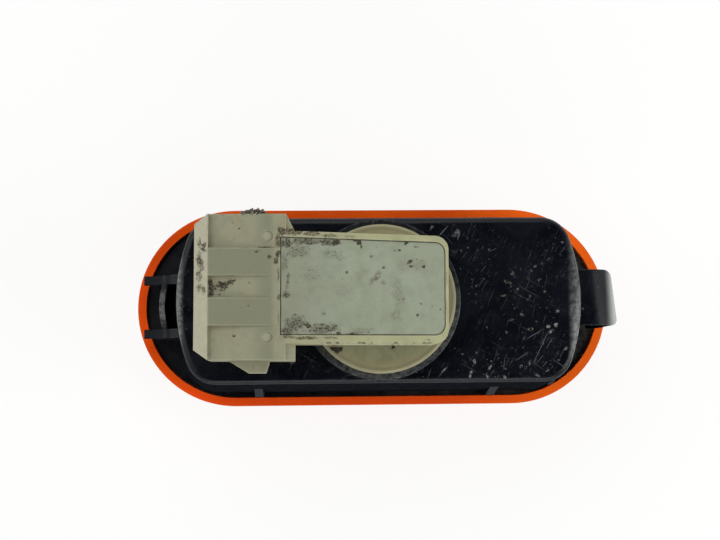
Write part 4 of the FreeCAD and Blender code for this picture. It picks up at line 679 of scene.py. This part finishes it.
def make_amber():
    """Clear amber plastic: redder at its near side and at its left, where the redder tone is painted shade,
    brighter at its right and along its edges as a painted glow, with handling marks.
    """
    f = Finish("amber_moulded_lens")
    t = f.tree
    broad = cloud(t, f.place, 11.0, 3.0, 0.5)
    f.colour = tint(t, span(t, broad, 0.3, 0.7), AMBER["deep"], AMBER["clear"])
    # Painted light: the left side is painted deeper red as shade and the right side brighter as a glow; the
    # near side is just redder
    for side, strength in (("left", 0.7), ("near", 0.7), ("right", 0.85)):
        f.paint(f.zone(LENS[side]), AMBER[side], strength)
    # Painted glow: the lens's outer edges are painted a lighter orange
    f.paint(f.outer_edge(0.5, 0.15, 0.7), AMBER["edge"], 0.35)
    dust = use(t, SPECKS, Place=f.place, Pitch=0.9, Part_Filled=0.14, Largest=0.14)
    f.paint(dust, AMBER["dust"], 0.3)
    lines = use(t, SCRATCHES, Place=f.place, Turn=0.3, Length=6.0, Spacing=0.8, Width=0.03, Part_Filled=0.25)
    haze = span(t, cloud(t, f.place, 2.4, 5.0, 0.65), 0.35, 0.75, 0.13, 0.24)
    rough = fade(t, over(t, lines, dust), haze, 0.5)
    height = calc(t, "SUBTRACT", times(t, cloud(t, f.place, 0.7, 3.0), 0.1), times(t, lines, 0.5))
    f.relief(height, 0.012, 0.18)
    f.set(Base_Color=f.colour, Roughness=rough, IOR=1.49, Transmission_Weight=f.zone(LENS["see_through"]))
    return f.material


def make_seal_rubber():
    f = Finish("black_seal_rubber")
    t = f.tree
    bloom = span(t, cloud(t, f.place, 1.3, 6.0, 0.7), 0.4, 0.75)
    grain = cloud(t, f.place, 0.12, 3.0, 0.6)
    f.set(Base_Color=tint(t, times(t, bloom, 0.4), (0.012, 0.012, 0.012), (0.05, 0.05, 0.048)),
          Roughness=span(t, bloom, 0.0, 1.0, 0.62, 0.85), IOR=1.5)
    f.relief(grain, 0.02, 0.1)
    return f.material


def make_contact_metal():
    """Tinned brass strip with rolling lines, brass showing along the sheared edges."""
    f = Finish("tinned_brass_strip")
    t = f.tree
    rolled = cloud(t, stretched(t, f.place, (0.06, 1.0, 1.0)), 0.12, 4.0, 0.6)
    dull = span(t, cloud(t, f.place, 1.5, 5.0, 0.65), 0.35, 0.7)
    f.colour = tint(t, times(t, dull, 0.5), (0.62, 0.60, 0.56), (0.42, 0.40, 0.36))
    f.paint(f.outer_edge(0.2), (0.66, 0.47, 0.20), 0.85)
    rough = span(t, calc(t, "ADD", dull, rolled), 0.4, 1.5, 0.24, 0.5)
    f.set(Base_Color=f.colour, Metallic=1.0, Roughness=rough)
    f.relief(rolled, 0.01, 0.06)
    return f.material


def make_bulb_glass():
    """Clear bulb glass with a faint grey haze and slight waves."""
    f = Finish("clear_bulb_glass")
    t = f.tree
    haze = span(t, cloud(t, f.place, 3.5, 4.0, 0.6), 0.45, 0.8)
    f.set(Base_Color=tint(t, times(t, haze, 0.3), (0.97, 0.985, 0.985), (0.82, 0.84, 0.83)),
          Roughness=span(t, haze, 0.0, 1.0, 0.015, 0.07), IOR=1.47, Transmission_Weight=1.0)
    f.relief(cloud(t, f.place, 2.2, 2.0), 0.03, 0.1)
    return f.material


def make_wire(name, bright, dull, pitch):
    f = Finish(name)
    t = f.tree
    spots = span(t, cloud(t, f.place, pitch, 5.0, 0.65), 0.35, 0.7)
    drawn = cloud(t, stretched(t, f.place, (1.0, 1.0, 0.1)), 0.08, 3.0)
    rough = span(t, spots, 0.0, 1.0, 0.3, 0.52)
    f.set(Base_Color=tint(t, spots, bright, dull), Metallic=1.0, Roughness=rough)
    f.relief(drawn, 0.006, 0.04)
    return f.material


CLUMP = [("y", 11.5, 12.5)]


def make_gritty_soil():
    """Loose road soil: dark, but paler and gritty in the clump at the socket's far side."""
    f = Finish("gritty_road_soil")
    t = f.tree
    lumps = cloud(t, f.place, 0.45, 5.0, 0.7)
    grit = use(t, SPECKS, Place=f.place, Pitch=0.3, Part_Filled=0.3, Largest=0.35)
    dark = tint(t, span(t, lumps, 0.35, 0.7), (0.012, 0.008, 0.0055), (0.05, 0.037, 0.025))
    pale = tint(t, span(t, lumps, 0.4, 0.62), (0.035, 0.028, 0.02), (0.21, 0.185, 0.135))
    pale = tint(t, times(t, grit, 0.7), pale, (0.38, 0.36, 0.28))
    colour = tint(t, f.zone(CLUMP), dark, pale)
    f.set(Base_Color=colour, Roughness=span(t, lumps, 0.3, 0.7, 0.8, 0.95), IOR=1.45)
    f.relief(lumps, 0.05, 0.03)
    return f.material


def make_pale_flash():
    f = Finish("pale_moulding_flash")
    t = f.tree
    lumps = cloud(t, f.place, 0.5, 4.0, 0.6)
    colour = tint(t, span(t, lumps, 0.3, 0.7), (0.33, 0.315, 0.2), (0.47, 0.45, 0.31))
    f.set(Base_Color=colour, Roughness=span(t, lumps, 0.3, 0.7, 0.5, 0.65), IOR=1.5)
    f.relief(lumps, 0.03, 0.05)
    return f.material


FINISHES = {
    "lens": make_amber(),
    "housing": make_black_plastic(),
    "bulb_holder": make_beige_plastic(),
    "holder_cover": make_grey_plastic(),
    "holder_seal": make_seal_rubber(),
    "contact": make_contact_metal(),
    "bulb_glass": make_bulb_glass(),
    "bulb_lead": make_wire("dull_nickel_wire", (0.5, 0.48, 0.45), (0.3, 0.28, 0.25), 0.6),
    "filament": make_wire("bare_tungsten_wire", (0.36, 0.36, 0.38), (0.16, 0.16, 0.18), 0.3),
    "soil": make_gritty_soil(),
    "flash": make_pale_flash(),
}
NODE_FINISH = {"contact_live": "contact", "contact_earth": "contact", "bulb_lead_live": "bulb_lead",
               "bulb_lead_earth": "bulb_lead", "bulb_filament": "filament"}

for node_name, node in nodes.items():
    finish = FINISHES[NODE_FINISH.get(node_name, node_name)]
    for slot in node.material_slots:
        slot.material = finish


# Pieces that repeat or follow a path, made with Geometry Nodes


def new_shape_tree(name, inputs):
    tree = bpy.data.node_groups.new(name, "GeometryNodeTree")
    tree.is_modifier = True
    tree.interface.new_socket(name="Geometry", in_out="INPUT", socket_type="NodeSocketGeometry")
    for label, kind in inputs:
        tree.interface.new_socket(name=label, in_out="INPUT", socket_type=kind)
    tree.interface.new_socket(name="Geometry", in_out="OUTPUT", socket_type="NodeSocketGeometry")
    return tree, tree.nodes.new("NodeGroupInput").outputs, tree.nodes.new("NodeGroupOutput").inputs


def finish_shape(tree, geometry, finish, result):
    """Ends a tree: one plain mesh in one finish."""
    real = put(tree, "GeometryNodeRealizeInstances", {"Geometry": geometry}).outputs[0]
    smooth = put(tree, "GeometryNodeSetShadeSmooth", {"Geometry": real}).outputs[0]
    painted = put(tree, "GeometryNodeSetMaterial", {"Geometry": smooth})
    painted.inputs["Material"].default_value = finish
    tree.links.new(painted.outputs[0], result["Geometry"])


def random_between(tree, low, high, seed, kind="FLOAT"):
    node = put(tree, "FunctionNodeRandomValue", data_type=kind)
    for label, value in (("Min", low), ("Max", high), ("Seed", seed)):
        socket = [s for s in node.inputs if s.enabled and s.name == label][0]
        if isinstance(value, bpy.types.NodeSocket):
            tree.links.new(value, socket)
        else:
            socket.default_value = value
    return [s for s in node.outputs if s.enabled][0]


def make_grain_tree(finish):
    """Loose lumpy grains scattered over a surface, half sunk into it."""
    tree, given, result = new_shape_tree("soil_grains", [
        ("Grains per Square Metre", "NodeSocketFloat"), ("Smallest", "NodeSocketFloat"),
        ("Largest", "NodeSocketFloat"), ("Seed", "NodeSocketInt")])
    points = put(tree, "GeometryNodeDistributePointsOnFaces", {
        "Mesh": given["Geometry"], "Density": given["Grains per Square Metre"], "Seed": given["Seed"]})
    grain = put(tree, "GeometryNodeMeshIcoSphere", {"Radius": 1.0, "Subdivisions": 2}).outputs[0]
    lumpy = put(tree, "ShaderNodeTexNoise", {"Scale": 1.6, "Detail": 2.0}).outputs[1]
    pushed = move(tree, "MULTIPLY", move(tree, "SUBTRACT", lumpy, (0.5, 0.5, 0.5)), (0.9, 0.9, 0.9))
    grain = put(tree, "GeometryNodeSetPosition", {"Geometry": grain, "Offset": pushed}).outputs[0]
    pick = random_between(tree, 0.0, 1.0, given["Seed"])
    size = fade(tree, calc(tree, "POWER", pick, 2.5), given["Smallest"], given["Largest"])
    squash = random_between(tree, (0.7, 0.7, 0.6), (1.3, 1.3, 1.0), given["Seed"], "FLOAT_VECTOR")
    scale = put(tree, "ShaderNodeVectorMath", {0: squash, "Scale": size}, operation="SCALE").outputs[0]
    turn = random_between(tree, (0, 0, 0), (6.28, 6.28, 6.28), 7, "FLOAT_VECTOR")
    grains = put(tree, "GeometryNodeInstanceOnPoints", {
        "Points": points.outputs[0], "Instance": grain, "Rotation": turn, "Scale": scale}).outputs[0]
    finish_shape(tree, grains, finish, result)
    return tree


# How far a nib may be shifted at random, in metres

NIB_SHAKE_LOW = (-0.00012, -0.00004, -0.00022)
NIB_SHAKE_HIGH = (0.00012, 0.00006, 0.0001)


def make_flash_tree(finish):
    """A ragged line of small nibs along an edge, as flash left by a mould."""
    tree, given, result = new_shape_tree("moulding_flash", [
        ("Nib Spacing", "NodeSocketFloat"), ("Nib Length", "NodeSocketFloat"),
        ("Nib Width", "NodeSocketFloat"), ("Seed", "NodeSocketInt")])
    line = put(tree, "GeometryNodeMeshToCurve", {"Mesh": given["Geometry"]}).outputs[0]
    spaced = {"Curve": line, "Length": given["Nib Spacing"]}
    points = put(tree, "GeometryNodeCurveToPoints", spaced, mode="LENGTH").outputs[0]
    shake = random_between(tree, NIB_SHAKE_LOW, NIB_SHAKE_HIGH, given["Seed"], "FLOAT_VECTOR")
    shaken = put(tree, "GeometryNodeSetPosition", {"Geometry": points, "Offset": shake}).outputs[0]
    nib = put(tree, "GeometryNodeMeshIcoSphere", {"Radius": 1.0, "Subdivisions": 2}).outputs[0]
    long_way = times(tree, given["Nib Length"], random_between(tree, 0.3, 1.5, 11))
    wide_way = times(tree, given["Nib Width"], random_between(tree, 0.55, 1.25, 12))
    scale = put(tree, "ShaderNodeCombineXYZ", {0: long_way, 1: wide_way, 2: wide_way}).outputs[0]
    placed = {"Points": shaken, "Instance": nib, "Scale": scale}
    nibs = put(tree, "GeometryNodeInstanceOnPoints", placed).outputs[0]
    finish_shape(tree, nibs, finish, result)
    return tree


def make_coil_tree(finish):
    """A close-wound coil of fine wire along the lamp's length, between the two leads."""
    tree, given, result = new_shape_tree("filament_coil", [
        ("Turns", "NodeSocketFloat"), ("Coil Radius", "NodeSocketFloat"),
        ("Coil Length", "NodeSocketFloat"), ("Wire Radius", "NodeSocketFloat"),
        ("Middle", "NodeSocketVector"), ("Turn", "NodeSocketVector")])
    coil = put(tree, "GeometryNodeCurveSpiral", {
        "Resolution": 20, "Rotations": given["Turns"], "Start Radius": given["Coil Radius"],
        "End Radius": given["Coil Radius"], "Height": given["Coil Length"]}).outputs[0]
    low = put(tree, "ShaderNodeCombineXYZ", {2: times(tree, given["Coil Length"], -0.5)}).outputs[0]
    centred = put(tree, "GeometryNodeTransform", {"Geometry": coil, "Translation": low}).outputs[0]
    placed = put(tree, "GeometryNodeTransform", {
        "Geometry": centred, "Translation": given["Middle"], "Rotation": given["Turn"]}).outputs[0]
    section = {"Resolution": 8, "Radius": given["Wire Radius"]}
    round_wire = put(tree, "GeometryNodeCurvePrimitiveCircle", section).outputs[0]
    swept = {"Curve": placed, "Profile Curve": round_wire, "Fill Caps": True}
    wire = put(tree, "GeometryNodeCurveToMesh", swept).outputs[0]
    finish_shape(tree, wire, finish, result)
    return tree


def grow(name, base, tree, **inputs):
    """Runs a tree on a base mesh and returns its result as a plain mesh."""
    piece = bpy.data.objects.new(name, base)
    bpy.context.scene.collection.objects.link(piece)
    modifier = piece.modifiers.new("shape", "NODES")
    modifier.node_group = tree
    sockets = [item for item in tree.interface.items_tree if item.in_out == "INPUT"]
    identifiers = {socket.name: socket.identifier for socket in sockets}
    for label, value in inputs.items():
        modifier[identifiers[label.replace("_", " ")]] = value
    piece.update_tag()
    bpy.context.view_layer.update()
    evaluated = piece.evaluated_get(bpy.context.evaluated_depsgraph_get())
    grown = bpy.data.meshes.new_from_object(evaluated)
    bpy.data.objects.remove(piece)
    return grown


def facet(corners):
    """A base mesh of one flat patch, corners in mm."""
    mesh = bpy.data.meshes.new("patch")
    points = [tuple(MM * c for c in corner) for corner in corners]
    mesh.from_pydata(points, [], [tuple(range(len(corners)))])
    return mesh


UNDER_BACK = 0.03 * MM


def piece_from(name, meshes, finish):
    """One finished piece, at the origin, from several grown meshes, kept just under the lamp's back."""
    joined = bmesh.new()
    for mesh in meshes:
        joined.from_mesh(mesh)
    bmesh.ops.recalc_face_normals(joined, faces=joined.faces)
    for face in joined.faces:
        face.smooth = True
    for corner in joined.verts:
        corner.co.z = min(corner.co.z, cad_high.z - UNDER_BACK)
    mesh = bpy.data.meshes.new(name)
    joined.to_mesh(mesh)
    joined.free()
    mesh.materials.clear()
    mesh.materials.append(finish)
    piece = bpy.data.objects.new(name, mesh)
    bpy.context.scene.collection.objects.link(piece)
    return piece


def turned(x, y):
    """A place on the holder drawn square to the lamp, as it stands after the holder's small turn."""
    c, s = math.cos(HOLDER_TURN), math.sin(HOLDER_TURN)
    return x * c - y * s, x * s + y * c


def channel_height_at(x):
    """Height of the sloping middle channel's floor at x."""
    return CHANNEL_FLOOR + max(0.0, min(1.0, (x - CHANNEL_START) / CHANNEL_LENGTH))


# Places of loose soil in mm: on the socket's far side (y, left, right, low, high, grains per square mm), in
# the middle channel (left, right, near, far, grains per square mm), and on the flange (corners)

CLUMP_ROWS = [(12.86, -23.1, -18.9, 31.9, 33.25, 26), (13.1, -22.8, -19.1, 32.2, 33.2, 26),
              (13.3, -22.3, -19.4, 32.5, 33.15, 24), (13.5, -21.6, -20.0, 32.7, 33.1, 18)]
CHANNEL_SPOTS = [(-27.9, -27.2, 0.2, 2.7, 16), (-26.7, -24.7, 1.2, 2.3, 17), (-24.6, -23.6, 1.9, 2.7, 8)]
UNDER_ARM = [(-8.6, -8.3), (-7.2, -9.0), (-6.4, -8.2), (-8.5, -7.9)]
FLANGE_SPOT = [(1.5, -8.35), (2.0, -8.35), (2.0, -7.9), (1.5, -7.9)]


def make_soil_grains():
    """Loose soil on the socket's far side, in its middle channel and on the flange; sizes in mm."""
    tree = make_grain_tree(FINISHES["soil"])
    meshes = []

    def scatter(label, corners, per_square_mm, smallest, largest, seed):
        meshes.append(grow(label, facet(corners), tree, Grains_per_Square_Metre=per_square_mm * 1e6,
                           Smallest=smallest * MM, Largest=largest * MM, Seed=seed))

    for seed, (y, x0, x1, z0, z1, share) in enumerate(CLUMP_ROWS):
        left, right = turned(x0, y), turned(x1, y)
        corners = [(*left, z0), (*right, z0), (*right, z1), (*left, z1)]
        scatter("clump", corners, share, smallest=0.1, largest=0.3, seed=1 + seed)
    for seed, (x0, x1, y0, y1, share) in enumerate(CHANNEL_SPOTS):
        outline = ((x0, y0), (x1, y0), (x1, y1), (x0, y1))
        corners = [(x, y, channel_height_at(x)) for x, y in outline]
        scatter("channel_soil", corners, share, smallest=0.05, largest=0.16, seed=10 + seed)
    corners = [(x, y, BACK_OF_FLANGE) for x, y in UNDER_ARM]
    scatter("crumbs_under_arm", corners, 40, smallest=0.08, largest=0.26, seed=40)
    corners = [(x, y, BACK_OF_FLANGE) for x, y in FLANGE_SPOT]
    scatter("crumb_on_flange", corners, 26, smallest=0.1, largest=0.22, seed=41)
    return piece_from("soil_grains", meshes, FINISHES["soil"])


# Runs of nibs along the arm's lower edge: left end, right end, height, in mm

FLASH_RUNS = [(-9.6, 6.8, 33.15), (-5.8, 2.6, 32.9)]


def make_moulding_flash():
    tree = make_flash_tree(FINISHES["flash"])
    meshes = []
    for seed, (start, end, height) in enumerate(FLASH_RUNS):
        ends = [turned(x, ARM_EDGE) for x in (start, end)]
        edge = bpy.data.meshes.new("edge")
        edge.from_pydata([(x * MM, y * MM, height * MM) for x, y in ends], [(0, 1)], [])
        meshes.append(grow("arm_edge", edge, tree, Nib_Spacing=1.05 * MM, Nib_Length=0.34 * MM,
                           Nib_Width=0.17 * MM, Seed=3 + seed))
    return piece_from("moulding_flash", meshes, FINISHES["flash"])


def make_filament():
    low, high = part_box("bulb_filament")
    middle = (low + high) / 2
    tree = make_coil_tree(FINISHES["filament"])
    length = (high - low).x - 0.1 * MM
    base = bpy.data.meshes.new("filament_base")
    coil = grow("coil", base, tree, Turns=26.0, Coil_Radius=0.16 * MM, Coil_Length=length,
                Wire_Radius=0.04 * MM, Middle=tuple(middle), Turn=(0.0, math.pi / 2, HOLDER_TURN))
    return piece_from("filament_coil", [coil], FINISHES["filament"])


soil_grains = make_soil_grains()
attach(soil_grains, "holder")

moulding_flash = make_moulding_flash()
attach(moulding_flash, "holder")

filament_coil = make_filament()
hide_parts("bulb_filament")
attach(filament_coil, "holder")


# White table, soft light from four sides, and the photograph's camera

TABLE_HALF = 3.0
WINDOW_LIGHT = (1.0, 0.99, 0.96)
PHOTO_WIDTH = 720
RIM_IN_PIXELS = 467
RIM_LENGTH = 0.085


def make_table():
    mesh = bpy.data.meshes.new("white_table")
    half = TABLE_HALF
    corners = [(-half, -half, 0), (half, -half, 0), (half, half, 0), (-half, half, 0)]
    mesh.from_pydata(corners, [], [(0, 1, 2, 3)])
    mesh.transform(Matrix.Translation((0, 0, FLOOR_HEIGHT)))
    table = bpy.data.objects.new("white_table", mesh)
    bpy.context.scene.collection.objects.link(table)
    material = bpy.data.materials.new("white_table_sheet")
    material.use_nodes = True
    tree = material.node_tree
    tree.nodes.clear()
    sheet = put(tree, "ShaderNodeBsdfDiffuse", {"Color": (0.93, 0.93, 0.925, 1.0), "Roughness": 0.5})
    shine = put(tree, "ShaderNodeEmission", {"Color": (1.0, 1.0, 0.995, 1.0), "Strength": 1.0})
    path = put(tree, "ShaderNodeLightPath").outputs
    seen = over(tree, path["Is Camera Ray"], path["Is Glossy Ray"], path["Is Transmission Ray"])
    layers = {0: times(tree, seen, 0.85), 1: sheet.outputs[0], 2: shine.outputs[0]}
    mixed = put(tree, "ShaderNodeMixShader", layers)
    target = put(tree, "ShaderNodeOutputMaterial")
    tree.links.new(mixed.outputs[0], target.inputs["Surface"])
    mesh.materials.append(material)


def make_surroundings():
    """A pale room: bright low down, dimmer overhead where the photographer stands."""
    world = bpy.data.worlds.new("pale_room")
    bpy.context.scene.world = world
    world.use_nodes = True
    tree = world.node_tree
    tree.nodes.clear()
    direction = put(tree, "ShaderNodeTexCoord").outputs["Generated"]
    height = parts(tree, direction)[2]
    colour = tint(tree, span(tree, height, 0.25, 0.8), (0.88, 0.89, 0.9), (0.03, 0.033, 0.04))
    sky = put(tree, "ShaderNodeBackground", {"Color": colour, "Strength": 1.0})
    target = put(tree, "ShaderNodeOutputWorld")
    tree.links.new(sky.outputs[0], target.inputs["Surface"])


def add_lamp(name, place, aim, size, power, colour=(1.0, 1.0, 1.0)):
    data = bpy.data.lights.new(name, "AREA")
    data.shape = "RECTANGLE"
    data.size, data.size_y = size
    data.energy = power
    data.color = colour
    lamp = bpy.data.objects.new(name, data)
    lamp.location = place
    lamp.rotation_euler = (Vector(aim) - Vector(place)).to_track_quat("-Z", "Y").to_euler()
    bpy.context.scene.collection.objects.link(lamp)


def make_camera():
    distance, across, along = 0.26, math.radians(2.75), math.radians(4.81)
    roll = math.radians(-0.592)
    target = Vector((-2.38, 6.754, 0.0)) * MM
    back = Vector((-math.tan(across), -math.tan(along), 1.0)).normalized()
    right = Vector((0, 1, 0)).cross(back).normalized()
    up = back.cross(right)
    level, tilted = math.cos(roll), math.sin(roll)
    right, up = right * level + up * tilted, up * level - right * tilted
    data = bpy.data.cameras.new("photographer")
    data.sensor_fit = "HORIZONTAL"
    data.sensor_width = 36.0
    data.lens = data.sensor_width * distance / (PHOTO_WIDTH * RIM_LENGTH / RIM_IN_PIXELS)
    data.clip_start = 0.01
    camera = bpy.data.objects.new("photographer", data)
    turn = Matrix((right, up, back)).transposed().to_4x4()
    camera.matrix_world = Matrix.Translation(target + back * distance) @ turn
    bpy.context.scene.collection.objects.link(camera)
    bpy.context.scene.camera = camera


make_table()
make_surroundings()
add_lamp("far_window", (-0.20, 0.60, 0.74), (0, 0, 0.01), (0.9, 0.5), 3.4, WINDOW_LIGHT)
add_lamp("left_window", (-0.66, 0.10, 0.62), (0, 0, 0.01), (0.6, 0.9), 2.7, WINDOW_LIGHT)
add_lamp("near_fill", (0.05, -0.80, 0.45), (0, 0, 0.01), (0.9, 0.4), 3.1)
add_lamp("right_fill", (0.42, -0.10, 0.30), (0.03, 0, 0), (0.3, 0.4), 1.45)
make_camera()

bpy.context.scene.view_settings.view_transform = "Standard"
